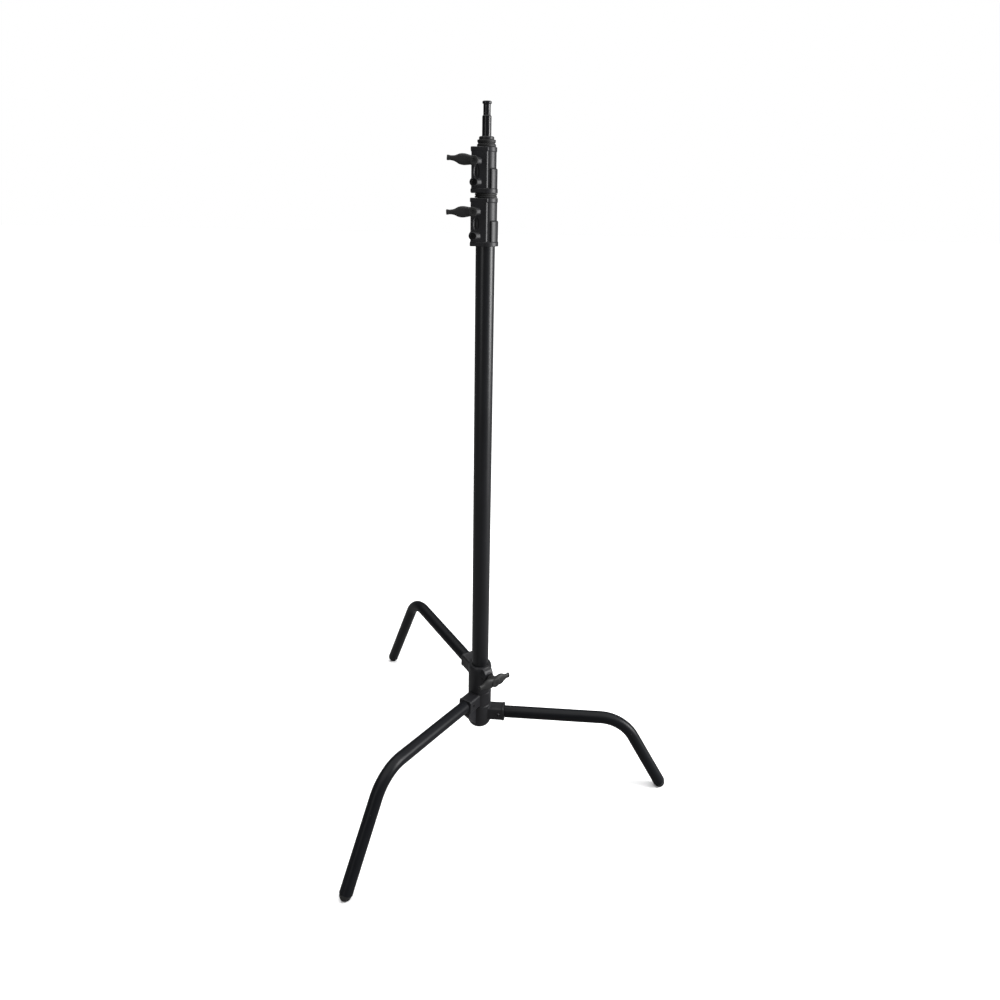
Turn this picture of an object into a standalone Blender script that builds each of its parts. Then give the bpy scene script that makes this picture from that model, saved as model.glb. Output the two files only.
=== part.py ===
"""Light stand with three bent legs and two telescoping risers, a grip pin on top.

Units are metres, +Z is up. The stand is laid out around the column's own axis
and then moved so that the middle of its whole bounding box, on the floor, is
the origin. Azimuths are degrees counter-clockwise from +X, seen from above.
"""
import math
import bpy
import bmesh
from mathutils import Matrix, Vector

# Fits
GAP = 0.0003                # air between two pieces that touch or slide

# Tubes: outer radii and walls
COLUMN_R = 0.0175
RISER1_R = 0.0150
RISER2_R = 0.0125
LEG_R = 0.0125
TUBE_WALL = 0.0015

# Column and risers, heights above the floor
COLUMN_Z = (0.1115, 1.1520)
RISER1_Z = (0.1373, 1.2400)
RISER2_Z = (0.1723, 1.2945)
GLIDE_DISC_H = 0.0120
GLIDE_INSERT_H = 0.0180

# Legs: azimuth, height of the centreline at LEG_REF_R, socket end radius
LEG_REF_R = 0.030
LEG_START_R = 0.0237
LEG_CORNER_R = 0.306
LEG_RISE = math.radians(3.96)
LEG_FALL = math.radians(59.3)
LEG_BEND_R = 0.075
LEG_SOCKET_END = 0.055
SOCKET_HALF = 0.0142        # the sockets are square outside, round inside
SOCKET_LIP_HALF = 0.0149
LEG_BOLT_R = 0.042
RIGHT_AZ, RIGHT_H = 349.57, 0.1369
FRONT_AZ, FRONT_H = 235.87, 0.1748
BACK_AZ, BACK_H = 121.49, 0.231
FOOT_CENTRE_Z = 0.0120      # the round end is cut flat where it meets the floor
FOOT_PLUG_R = 0.0107
FOOT_PLUG_L = 0.022

# Hubs on the column
HUB_BORE = COLUMN_R + GAP
BASE_HUB_Z = (0.1030, 0.1580)
BASE_HUB_R = 0.0245
BASE_FLOOR_Z = 0.1112
MIDDLE_HUB_Z = (0.1586, 0.1890)
MIDDLE_HUB_R = 0.0245
SLIDE_HUB_Z = (0.1896, 0.2520)
SLIDE_HUB_R = 0.0245
SLIDE_BORE = 0.0192
LINER_R = 0.0189

# Collars: z range, radii of upper half, top band, lower pad, bottom band
LOWER = {"z": (1.115, 1.198), "body": 0.0203, "top": 0.0212, "pad": 0.0225,
         "bottom": 0.0234, "bore": COLUMN_R + GAP, "ear": 0.0267,
         "face": 0.0222, "off": 0.0223, "screw_z": 1.1745, "pinch_z": 1.1330, "pad_z": 1.1595}
UPPER = {"z": (1.206, 1.2825), "body": 0.0178, "top": 0.0187, "pad": 0.0200,
         "bottom": 0.0208, "bore": RISER1_R + GAP, "ear": 0.0260,
         "face": 0.0196, "off": 0.0213, "screw_z": 1.2585, "pinch_z": 1.2240, "pad_z": 1.2476}
BAND_H = 0.0080
BLOCK_INNER_X = 0.0030      # the clamp block runs from the ears past the axis
SLIT_HALF = 0.0013
BOSS_R = 0.0066
BOSS_PROUD = 0.0053
RECESS_X = -0.0168          # shallow hollow in the block's front face
RECESS_R = 0.0060
RECESS_HALF_H = 0.0135

# Levers
LEVER_REACH = 0.0145        # wing plane from the end of its boss
LEVER_TILT = {"lower": -1.7, "upper": 4.9}
SCREW_R = 0.0040
FLANGE_R = 0.0066
NUT_R = 0.0056
SLIDE_LEVER_AZ = 308.0
SLIDE_LEVER_Z = 0.233
SLIDE_LEVER_PLANE = 0.0490
SLIDE_BOSS_END = 0.0325
SLIDE_WINGS = (0.85, -0.85)  # this lever has a short wing on either side
SLIDE_BULK = 1.25           # and is stouter than the collars' levers

# Pin at the top
HEAD_Z = (1.2948, 1.3000)
PIN_R = 0.0080
PIN_NECK_R = 0.00635
PIN_Z = (1.2640, 1.3570)
PIN_NECK_Z = (1.3330, 1.3522)
CROSS_PIN_Z = 1.2740
CROSS_PIN_R = 0.0020

SEG = 36                    # sides of the tubes, hubs and collars
LEG_SEG = 24
SCREW_SEG = 16
BOLT_SEG = 12

BLACK_COAT = ((0.020, 0.021, 0.025), 0.42, 0.55)
CAST_BLACK = ((0.028, 0.028, 0.032), 0.50, 0.45)
PLASTIC = ((0.012, 0.012, 0.013), 0.55, 0.0)
RUBBER = ((0.014, 0.014, 0.014), 0.85, 0.0)
NYLON = ((0.030, 0.030, 0.032), 0.60, 0.0)
STEEL = ((0.42, 0.42, 0.44), 0.32, 1.0)
BRASS = ((0.62, 0.45, 0.18), 0.38, 1.0)


def clear_scene():
    for obj in list(bpy.data.objects):
        bpy.data.objects.remove(obj, do_unlink=True)


def heading(azimuth):
    """Unit vector on the floor plane."""
    a = math.radians(azimuth)
    return Vector((math.cos(a), math.sin(a), 0.0))


def frame_matrix(origin, z_dir, x_dir):
    """Matrix whose Z is z_dir and whose X is x_dir made square to it."""
    z = Vector(z_dir).normalized()
    y = z.cross(Vector(x_dir)).normalized()
    x = y.cross(z)
    m = Matrix((x, y, z)).transposed().to_4x4()
    m.translation = Vector(origin)
    return m


def add_object(name, bm, look, parent):
    mesh = bpy.data.meshes.new(name)
    bmesh.ops.recalc_face_normals(bm, faces=bm.faces)
    bm.to_mesh(mesh)
    bm.free()
    obj = bpy.data.objects.new(name, mesh)
    bpy.context.scene.collection.objects.link(obj)
    obj.parent = parent
    if look is not None:
        obj.data.materials.append(make_material(name, look))
    return obj


def make_material(name, look):
    colour, rough, metal = look
    mat = bpy.data.materials.new(name)
    mat.use_nodes = True
    bsdf = mat.node_tree.nodes["Principled BSDF"]
    bsdf.inputs["Base Color"].default_value = (*colour, 1.0)
    bsdf.inputs["Roughness"].default_value = rough
    bsdf.inputs["Metallic"].default_value = metal
    mat.diffuse_color = (*colour, 1.0)
    return mat


def add_empty(name, location, parent):
    obj = bpy.data.objects.new(name, None)
    bpy.context.scene.collection.objects.link(obj)
    obj.empty_display_size = 0.02
    obj.parent = parent
    obj.location = Vector(location) - pivot_of(parent)
    return obj


def pivot_of(parent):
    """Where a parent empty stands, in column coordinates."""
    here = Vector((0.0, 0.0, 0.0))
    while parent is not None:
        here += parent.location
        parent = parent.parent
    return here


def lathe(profile, segs=SEG, matrix=None):
    """Solid of revolution about local Z; the profile is (radius, z) in order."""
    bm = bmesh.new()
    rings = []
    for r, z in profile:
        if r < 1e-7:
            rings.append([bm.verts.new((0.0, 0.0, z))])
            continue
        rings.append([bm.verts.new((r * math.cos(2 * math.pi * i / segs),
                                    r * math.sin(2 * math.pi * i / segs), z))
                      for i in range(segs)])
    closed = profile[0][0] > 1e-7
    count = len(rings) if closed else len(rings) - 1
    for k in range(count):
        join_rings(bm, rings[k], rings[(k + 1) % len(rings)])
    if matrix is not None:
        bmesh.ops.transform(bm, matrix=matrix, verts=bm.verts)
    return bm


def join_rings(bm, a, b):
    n = max(len(a), len(b))
    for i in range(n):
        j = (i + 1) % n
        if len(a) == 1:
            bm.faces.new((a[0], b[j], b[i]))
        elif len(b) == 1:
            bm.faces.new((a[i], a[j], b[0]))
        else:
            bm.faces.new((a[i], a[j], b[j], b[i]))


def rod(r, z0, z1, chamfer=0.0, segs=SEG, matrix=None):
    """Solid round bar with optional edge chamfers."""
    c = chamfer
    profile = [(0.0, z0), (r - c, z0), (r, z0 + c), (r, z1 - c), (r - c, z1), (0.0, z1)]
    if c == 0.0:
        profile = [(0.0, z0), (r, z0), (r, z1), (0.0, z1)]
    return lathe(profile, segs, matrix)


def ring(r_in, r_out, z0, z1, chamfer=0.0, segs=SEG, matrix=None):
    """Round sleeve with optional outer edge chamfers."""
    c = chamfer
    profile = [(r_in, z0), (r_out - c, z0), (r_out, z0 + c), (r_out, z1 - c),
               (r_out - c, z1), (r_in, z1)]
    if c == 0.0:
        profile = [(r_in, z0), (r_out, z0), (r_out, z1), (r_in, z1)]
    return lathe(profile, segs, matrix)


def box(x0, x1, y0, y1, z0, z1, bevel=0.0):
    bm = bmesh.new()
    m = Matrix.Diagonal((x1 - x0, y1 - y0, z1 - z0, 1.0))
    m.translation = Vector(((x0 + x1) / 2, (y0 + y1) / 2, (z0 + z1) / 2))
    bmesh.ops.create_cube(bm, size=1.0, matrix=m)
    if bevel > 0.0:
        bmesh.ops.bevel(bm, geom=list(bm.edges), offset=bevel, segments=1,
                        affect='EDGES', profile=0.5)
    return bm


def prism(points, half, matrix):
    """Polygon in local XZ pushed out to plus and minus half along local Y."""
    bm = bmesh.new()
    a = [bm.verts.new((x, -half, z)) for x, z in points]
    b = [bm.verts.new((x, half, z)) for x, z in points]
    join_rings(bm, a, b)
    bm.faces.new(list(reversed(a)))
    bm.faces.new(b)
    bmesh.ops.transform(bm, matrix=matrix, verts=bm.verts)
    return bm


def combine(obj, bm, operation):
    """Join, cut or intersect obj with a helper solid, and keep the result."""
    helper = add_object("helper", bm, None, obj.parent)
    helper.hide_render = True
    helper.display_type = 'WIRE'
    mod = obj.modifiers.new("combine", 'BOOLEAN')
    mod.operation = operation
    mod.solver = 'EXACT'
    mod.object = helper
    bpy.context.view_layer.update()
    graph = bpy.context.evaluated_depsgraph_get()
    mesh = bpy.data.meshes.new_from_object(obj.evaluated_get(graph))
    old = obj.data
    obj.modifiers.clear()
    obj.data = mesh
    bpy.data.meshes.remove(old)
    bpy.data.objects.remove(helper, do_unlink=True)
    clean_mesh(mesh)


def clean_mesh(mesh):
    bm = bmesh.new()
    bm.from_mesh(mesh)
    bmesh.ops.remove_doubles(bm, verts=bm.verts, dist=0.000002)
    bmesh.ops.dissolve_limit(bm, angle_limit=0.0005, verts=bm.verts, edges=bm.edges)
    bmesh.ops.triangulate(bm, faces=bm.faces)
    bm.to_mesh(mesh)
    bm.free()


def settle(obj, pivot):
    """Shift mesh data so that the object's own origin is its parent empty."""
    obj.data.transform(Matrix.Translation(-Vector(pivot)))


def leg_point(azimuth, height, radius):
    z = height + (radius - LEG_REF_R) * math.tan(LEG_RISE)
    return heading(azimuth) * radius + Vector((0.0, 0.0, z))


def leg_directions(azimuth):
    out = heading(azimuth)
    up = Vector((0.0, 0.0, 1.0))
    first = out * math.cos(LEG_RISE) + up * math.sin(LEG_RISE)
    second = out * math.cos(LEG_FALL) - up * math.sin(LEG_FALL)
    return first, second


def leg_foot_centre(azimuth, height):
    corner = leg_point(azimuth, height, LEG_CORNER_R)
    second = leg_directions(azimuth)[1]
    return corner + second * ((corner.z - FOOT_CENTRE_Z) / -second.z)


def leg_path(azimuth, height):
    """Centreline points and their directions, with a round bend."""
    first, second = leg_directions(azimuth)
    corner = leg_point(azimuth, height, LEG_CORNER_R)
    turn = LEG_RISE + LEG_FALL
    reach = LEG_BEND_R * math.tan(turn / 2)
    start = corner - first * reach
    normal = (second - first * math.cos(turn)).normalized()
    path = [(leg_point(azimuth, height, LEG_START_R), first)]
    steps = 8
    for i in range(steps + 1):
        a = turn * i / steps
        p = start + first * (LEG_BEND_R * math.sin(a)) + normal * (LEG_BEND_R * (1 - math.cos(a)))
        path.append((p, first * math.cos(a) + normal * math.sin(a)))
    path.append((leg_foot_centre(azimuth, height), second))
    return path


def sweep(path, side, r_out, r_in, segs):
    """Hollow round tube along a path that lies in one upright plane."""
    bm = bmesh.new()
    outer, inner = [], []
    for p, d in path:
        up = side.cross(d).normalized()
        spots = [(side * math.cos(2 * math.pi * i / segs) + up * math.sin(2 * math.pi * i / segs))
                 for i in range(segs)]
        outer.append([bm.verts.new(p + s * r_out) for s in spots])
        inner.append([bm.verts.new(p + s * r_in) for s in spots])
    loops = outer + list(reversed(inner))
    for k in range(len(loops)):
        join_rings(bm, loops[k], loops[(k + 1) % len(loops)])
    return bm


def build_leg(prefix, azimuth, height, parent):
    """Bent tube, its rubber foot and the bolt that holds it in its socket."""
    pivot = pivot_of(parent)
    side = Vector((0.0, 0.0, 1.0)).cross(heading(azimuth))
    bm = sweep(leg_path(azimuth, height), side, LEG_R, LEG_R - TUBE_WALL, LEG_SEG)
    tube = add_object(prefix + "_leg_tube", bm, BLACK_COAT, parent)
    combine(tube, leg_bolt_hole(azimuth, height), 'DIFFERENCE')
    settle(tube, pivot)
    foot = build_foot(prefix, azimuth, height, parent)
    settle(foot, pivot)
    bolt = build_leg_bolt(prefix, azimuth, height, parent)
    settle(bolt, pivot)


def leg_bolt_frame(azimuth, height):
    """Local Z points out of the bolt head, square to the leg and level."""
    side = Vector((0.0, 0.0, 1.0)).cross(heading(azimuth))
    return frame_matrix(leg_point(azimuth, height, LEG_BOLT_R), -side, (0, 0, 1))


def leg_bolt_hole(azimuth, height):
    return rod(0.0028, -0.03, 0.03, 0.0, BOLT_SEG, leg_bolt_frame(azimuth, height))


def build_leg_bolt(prefix, azimuth, height, parent):
    m = leg_bolt_frame(azimuth, height)
    r = SOCKET_HALF
    profile = [(0.0, -r + 0.0005), (0.0025, -r + 0.0005), (0.0025, r + GAP), (0.0045, r + GAP),
               (0.0045, r + 0.0018), (0.0038, r + 0.0026), (0.0020, r + 0.0026),
               (0.0020, r + 0.0012), (0.0, r + 0.0012)]
    return add_object(prefix + "_leg_bolt", lathe(profile, BOLT_SEG, m), STEEL, parent)


def build_foot(prefix, azimuth, height, parent):
    """Rubber end: a plug inside the tube and a round cap, flat on the floor."""
    centre = leg_foot_centre(azimuth, height)
    second = leg_directions(azimuth)[1]
    m = frame_matrix(centre, second, heading(azimuth))
    cap = [(0.0, -FOOT_PLUG_L), (FOOT_PLUG_R - 0.001, -FOOT_PLUG_L),
           (FOOT_PLUG_R, -FOOT_PLUG_L + 0.001), (FOOT_PLUG_R, GAP), (LEG_R, GAP)]
    steps = 5
    for i in range(1, steps):
        a = math.pi / 2 * i / steps
        cap.append((LEG_R * math.cos(a), GAP + LEG_R * math.sin(a)))
    cap.append((0.0, GAP + LEG_R))
    foot = add_object(prefix + "_leg_foot", lathe(cap, LEG_SEG, m), RUBBER, parent)
    combine(foot, box(centre.x - 0.05, centre.x + 0.05, centre.y - 0.05, centre.y + 0.05,
                      -0.05, 0.0), 'DIFFERENCE')
    return foot


def add_socket(hub, azimuth, height):
    """Square leg socket with a raised end lip, before the bores are cut."""
    first = leg_directions(azimuth)[0]
    m = frame_matrix(leg_point(azimuth, height, 0.0), first, (0, 0, 1))
    end = LEG_SOCKET_END
    for half, z0, z1, bevel in ((SOCKET_HALF, 0.012, end - 0.001, 0.0032),
                                (SOCKET_LIP_HALF, end - 0.0042, end, 0.0034)):
        bm = box(-half, half, -half, half, z0, z1)
        upright = [e for e in bm.edges
                   if abs(e.verts[0].co.z - e.verts[1].co.z) > 0.001]
        bmesh.ops.bevel(bm, geom=upright, offset=bevel, segments=2, affect='EDGES', profile=0.5)
        bmesh.ops.transform(bm, matrix=m, verts=bm.verts)
        combine(hub, bm, 'UNION')


def cut_socket(hub, azimuth, height):
    first = leg_directions(azimuth)[0]
    m = frame_matrix(leg_point(azimuth, height, 0.0), first, (0, 0, 1))
    combine(hub, rod(LEG_R + GAP, LEG_START_R - 0.0004, 0.08, 0.0, LEG_SEG, m), 'DIFFERENCE')
    combine(hub, leg_bolt_hole(azimuth, height), 'DIFFERENCE')


def build_base_hub(parent):
    z0, z1 = BASE_HUB_Z
    r = BASE_HUB_R
    profile = [(0.0, z0), (0.012, z0), (0.0180, z0 + 0.002), (0.0222, z0 + 0.0065),
               (r, z0 + 0.0125), (r, z1 - 0.001), (r - 0.001, z1), (0.0, z1)]
    hub = add_object("base_hub", lathe(profile), CAST_BLACK, parent)
    combine(hub, stop_lug(), 'UNION')
    add_socket(hub, RIGHT_AZ, RIGHT_H)
    combine(hub, rod(HUB_BORE, BASE_FLOOR_Z, z1 + 0.02), 'DIFFERENCE')
    cut_socket(hub, RIGHT_AZ, RIGHT_H)
    combine(hub, base_screw_hole(), 'DIFFERENCE')
    return hub


def stop_lug():
    """Web under the turning leg that its hub turns over."""
    m = frame_matrix((0, 0, 0), (0, 0, 1), heading(FRONT_AZ))
    points = [(0.010, 0.1060), (0.0165, 0.1075), (0.025, 0.1185), (0.036, 0.1325),
              (0.0485, 0.1480), (0.0495, 0.1540), (0.0480, 0.1572), (0.010, 0.1572)]
    return prism(points, 0.0070, m)


def base_screw_frame():
    return frame_matrix((0, 0, 0.128), heading(90.0), (0, 0, 1))


def base_screw_hole():
    return rod(0.0033, 0.010, 0.040, 0.0, BOLT_SEG, base_screw_frame())


def build_base_screw(parent):
    """Set screw that keeps the hub on the column tube."""
    profile = [(0.0, 0.0179), (0.0030, 0.0179), (0.0030, 0.0240), (0.0026, 0.0244),
               (0.0014, 0.0244), (0.0014, 0.0222), (0.0, 0.0222)]
    return add_object("base_set_screw", lathe(profile, BOLT_SEG, base_screw_frame()), STEEL, parent)


def build_middle_hub(parent):
    z0, z1 = MIDDLE_HUB_Z
    hub = add_object("middle_hub", rod(MIDDLE_HUB_R, z0, z1, 0.001), CAST_BLACK, parent)
    add_socket(hub, FRONT_AZ, FRONT_H)
    combine(hub, rod(HUB_BORE, z0 - 0.02, z1 + 0.02), 'DIFFERENCE')
    cut_socket(hub, FRONT_AZ, FRONT_H)
    settle(hub, pivot_of(parent))


def socket_web():
    """Rib that carries the sliding hub's socket from below."""
    m = frame_matrix((0, 0, 0), (0, 0, 1), heading(BACK_AZ))
    points = [(0.010, 0.1950), (0.0245, 0.1955), (0.0330, 0.2020), (0.0430, 0.2140),
              (0.0480, 0.2230), (0.010, 0.2230)]
    return prism(points, 0.0060, m)


def boss_rib():
    """Sloping shoulder from the sliding hub's top to its screw boss."""
    m = frame_matrix((0, 0, 0), (0, 0, 1), heading(SLIDE_LEVER_AZ))
    points = [(0.010, 0.2270), (0.0312, 0.2290), (0.0312, 0.2425), (0.0282, 0.2480),
              (0.0225, 0.2512), (0.010, 0.2512)]
    return prism(points, 0.0104, m)


def slide_lever_frame(distance):
    out = heading(SLIDE_LEVER_AZ)
    wing = heading(SLIDE_LEVER_AZ + 90.0)
    return frame_matrix(out * distance + Vector((0, 0, SLIDE_LEVER_Z)), out, wing)


def build_slide_hub(parent):
    z0, z1 = SLIDE_HUB_Z
    r = SLIDE_HUB_R
    profile = [(0.0, z0), (r - 0.001, z0), (r, z0 + 0.001), (r, z1 - 0.007),
               (r - 0.0008, z1 - 0.003), (r - 0.002, z1), (0.0, z1)]
    hub = add_object("slide_hub", lathe(profile), CAST_BLACK, parent)
    combine(hub, socket_web(), 'UNION')
    add_socket(hub, BACK_AZ, BACK_H)
    m = slide_lever_frame(0.0)
    combine(hub, boss_rib(), 'UNION')
    boss = [(0.0, 0.012), (0.0125, 0.012), (0.0122, 0.026), (0.0114, SLIDE_BOSS_END - 0.0010),
            (0.0104, SLIDE_BOSS_END), (0.0, SLIDE_BOSS_END)]
    combine(hub, lathe(boss, SEG, m), 'UNION')
    combine(hub, rod(SLIDE_BORE, z0 - 0.02, z1 + 0.02), 'DIFFERENCE')
    cut_socket(hub, BACK_AZ, BACK_H)
    combine(hub, rod(SCREW_R + GAP, 0.010, 0.045, 0.0, SCREW_SEG, m), 'DIFFERENCE')
    settle(hub, pivot_of(parent))


def build_slide_clamp(hub_body, lever_body):
    m = slide_lever_frame(0.0)
    shoe = add_object("brake_shoe", rod(SCREW_R, 0.0193, 0.0223, 0.0004, SCREW_SEG, m), BRASS, hub_body)
    settle(shoe, pivot_of(hub_body))
    screw_profile = [(0.0, 0.0226), (SCREW_R - 0.0006, 0.0226), (SCREW_R, 0.0232),
                     (SCREW_R, SLIDE_BOSS_END + 0.0006), (FLANGE_R, SLIDE_BOSS_END + 0.0006),
                     (FLANGE_R, SLIDE_BOSS_END + 0.0022), (SCREW_R, SLIDE_BOSS_END + 0.0022),
                     (SCREW_R, SLIDE_LEVER_PLANE + 0.0005), (0.0, SLIDE_LEVER_PLANE + 0.0005)]
    screw = add_object("slide_lever_screw", lathe(screw_profile, SCREW_SEG, m), STEEL, lever_body)
    settle(screw, pivot_of(lever_body))
    build_lever("slide_lever", slide_lever_frame(SLIDE_LEVER_PLANE),
                SLIDE_BOSS_END + 0.0025 - SLIDE_LEVER_PLANE, 0.0008, lever_body, SLIDE_WINGS,
                SLIDE_BULK)


# Lever wing stations: distance from the screw axis, half height, half thickness
WING = [(0.000, 0.0074, 0.0058), (0.006, 0.0078, 0.0058), (0.012, 0.0090, 0.0055),
        (0.017, 0.0096, 0.0052), (0.022, 0.0092, 0.0047), (0.027, 0.0076, 0.0042),
        (0.031, 0.0054, 0.0037), (0.035, 0.0043, 0.0034), (0.041, 0.0039, 0.0032),
        (0.0424, 0.0044, 0.0036), (0.0452, 0.0044, 0.0036), (0.0460, 0.0038, 0.0030)]


def wing_solid(matrix, reach=1.0, bulk=1.0, segs=16):
    """Loft of soft-cornered sections along local X, or against it for a negative reach."""
    bm = bmesh.new()
    rings = []
    for x, half_h, half_t in WING:
        loop = []
        for i in range(segs):
            a = 2 * math.pi * i / segs
            c, s = math.cos(a), math.sin(a)
            y = bulk * half_h * math.copysign(abs(c) ** 0.75, c)
            z = half_t * math.copysign(abs(s) ** 0.75, s)
            loop.append(bm.verts.new((x * reach, y, z)))
        rings.append(loop)
    for k in range(len(rings) - 1):
        join_rings(bm, rings[k], rings[k + 1])
    bm.faces.new(list(reversed(rings[0])))
    bm.faces.new(rings[-1])
    bmesh.ops.recalc_face_normals(bm, faces=bm.faces)
    bmesh.ops.transform(bm, matrix=matrix, verts=bm.verts)
    return bm


def build_lever(name, matrix, back, bore_end, parent, wings=(1.0,), bulk=1.0):
    """Hand lever: a round hub with its wings; the screw sits in a blind bore."""
    front = 0.0072
    profile = [(0.0, back), (0.0066, back), (0.0070, back + 0.0005), (0.0078, -0.0045),
               (0.0080, front - 0.0020), (0.0068, front), (0.0036, front),
               (0.0032, front - 0.0010), (0.0, front - 0.0010)]
    profile = [(r * bulk, z) for r, z in profile]
    lever = add_object(name, lathe(profile, 24, matrix), PLASTIC, parent)
    for reach in wings:
        combine(lever, wing_solid(matrix, reach, bulk), 'UNION')
    combine(lever, rod(SCREW_R + GAP, back - 0.01, bore_end, 0.0, SCREW_SEG, matrix), 'DIFFERENCE')
    settle(lever, pivot_of(parent))


def build_collar(name, c, parent):
    """Clamp collar: bands, pad, split ears and screw bosses."""
    z0, z1 = c["z"]
    b = BAND_H
    profile = [(0.0, z0), (c["bottom"] - 0.0008, z0), (c["bottom"], z0 + 0.0008),
               (c["bottom"], z0 + b - 0.001), (c["body"], z0 + b + 0.0005),
               (c["body"], z1 - b), (c["top"], z1 - b + 0.0009), (c["top"], z1 - 0.0008),
               (c["top"] - 0.0008, z1), (0.0, z1)]
    collar = add_object(name, lathe(profile, SEG), CAST_BLACK, parent)
    combine(collar, pad_solid(c), 'UNION')
    ear = c["ear"]
    face = c["face"]
    right = BLOCK_INNER_X
    combine(collar, box(-ear, right, -face, face, z0 + b - 0.004, z1 - b + 0.004, 0.0024),
            'UNION')
    wide = face + 0.0007
    combine(collar, box(-ear - 0.0012, right + 0.0006, -wide, wide, z0 + 0.0001,
                        z0 + b - 0.0004, 0.0016), 'UNION')
    combine(collar, box(-ear - 0.0012, right + 0.0005, -wide, wide, z1 - b + 0.0004,
                        z1 - 0.0001, 0.0016), 'UNION')
    for z in (c["screw_z"], c["pinch_z"]):
        combine(collar, boss_solid(c, z), 'UNION')
    combine(collar, rod(c["bore"], z0 - 0.02, z1 + 0.02), 'DIFFERENCE')
    combine(collar, box(-0.05, -0.005, -SLIT_HALF, SLIT_HALF, z0 - 0.02, z1 + 0.02), 'DIFFERENCE')
    cut_collar_screws(collar, c)
    combine(collar, ear_recess(c), 'DIFFERENCE')
    settle(collar, pivot_of(parent))


def pad_solid(c):
    """Thicker wall on the side away from the ears, lower half only."""
    r = c["pad"]
    z0 = c["z"][0] + BAND_H - 0.002
    steps = 12
    half = math.radians(63.0)
    bm = bmesh.new()
    rings = []
    for z, rr in ((z0, r), (c["pad_z"] - 0.002, r), (c["pad_z"], c["body"] - 0.0004)):
        loop = [bm.verts.new((0.004, 0.0, z))]
        for i in range(steps + 1):
            a = -half + 2 * half * i / steps
            loop.append(bm.verts.new((rr * math.cos(a), rr * math.sin(a), z)))
        rings.append(loop)
    for k in range(len(rings) - 1):
        join_rings(bm, rings[k], rings[k + 1])
    bm.faces.new(list(reversed(rings[0])))
    bm.faces.new(rings[-1])
    return bm


def screw_frame(c, z, distance=0.0):
    """Local Z points out of the screw head, towards -Y."""
    return frame_matrix((-c["off"], -distance, z), (0, -1, 0), (-1, 0, 0))


def boss_end(c):
    """Distance from the column's centre plane to the end of a screw boss."""
    return c["face"] + BOSS_PROUD


def lever_plane(c):
    return boss_end(c) + LEVER_REACH


def boss_solid(c, z):
    """Round boss through the block, buttressed on its inner side on both faces."""
    out = boss_end(c)
    root = c["face"] - 0.001
    levels = ((BOSS_R - 0.0006, out), (BOSS_R, out - 0.0008), (BOSS_R + 0.0009, root))
    bm = bmesh.new()
    for side in (-1, 1):
        for r, depth in levels:
            for i in range(20):
                a = 2 * math.pi * i / 20
                bm.verts.new((r * math.cos(a), r * math.sin(a), side * depth))
        for x, y in ((-0.0128, 0.0048), (-0.0148, 0.0030)):
            bm.verts.new((x, y, side * root))
            bm.verts.new((x, -y, side * root))
    hull = bmesh.ops.convex_hull(bm, input=bm.verts)
    inside = [v for v in hull["geom_interior"] if isinstance(v, bmesh.types.BMVert)]
    bmesh.ops.delete(bm, geom=inside, context='VERTS')
    bmesh.ops.recalc_face_normals(bm, faces=bm.faces)
    bmesh.ops.transform(bm, matrix=screw_frame(c, z), verts=bm.verts)
    return bm


def cut_collar_screws(collar, c):
    out = boss_end(c)
    m = screw_frame(c, c["screw_z"])
    combine(collar, rod(SCREW_R + GAP, -0.04, 0.04, 0.0, SCREW_SEG, m), 'DIFFERENCE')
    combine(collar, rod(NUT_R + GAP, -0.04, 0.0090 - out, 0.0, SCREW_SEG, m), 'DIFFERENCE')
    m = screw_frame(c, c["pinch_z"])
    combine(collar, rod(0.0030 + GAP, -0.04, 0.04, 0.0, SCREW_SEG, m), 'DIFFERENCE')
    combine(collar, rod(0.0050 + GAP, out - 0.0062, 0.04, 0.0, SCREW_SEG, m), 'DIFFERENCE')
    combine(collar, rod(0.0048 + GAP, -0.04, 0.0062 - out, 0.0, SCREW_SEG, m), 'DIFFERENCE')


def ear_recess(c):
    """Lens-shaped hollow in the block's front face beside its two bosses."""
    mid = (c["screw_z"] + c["pinch_z"]) / 2
    half = RECESS_HALF_H
    r = RECESS_R
    m = frame_matrix((RECESS_X, -c["face"] - r + 0.0022, mid), (0, 0, 1), (1, 0, 0))
    profile = [(0.0, -half), (0.55 * r, -0.86 * half), (0.90 * r, -0.5 * half), (r, 0.0),
               (0.90 * r, 0.5 * half), (0.55 * r, 0.86 * half), (0.0, half)]
    return lathe(profile, 16, m)


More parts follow.
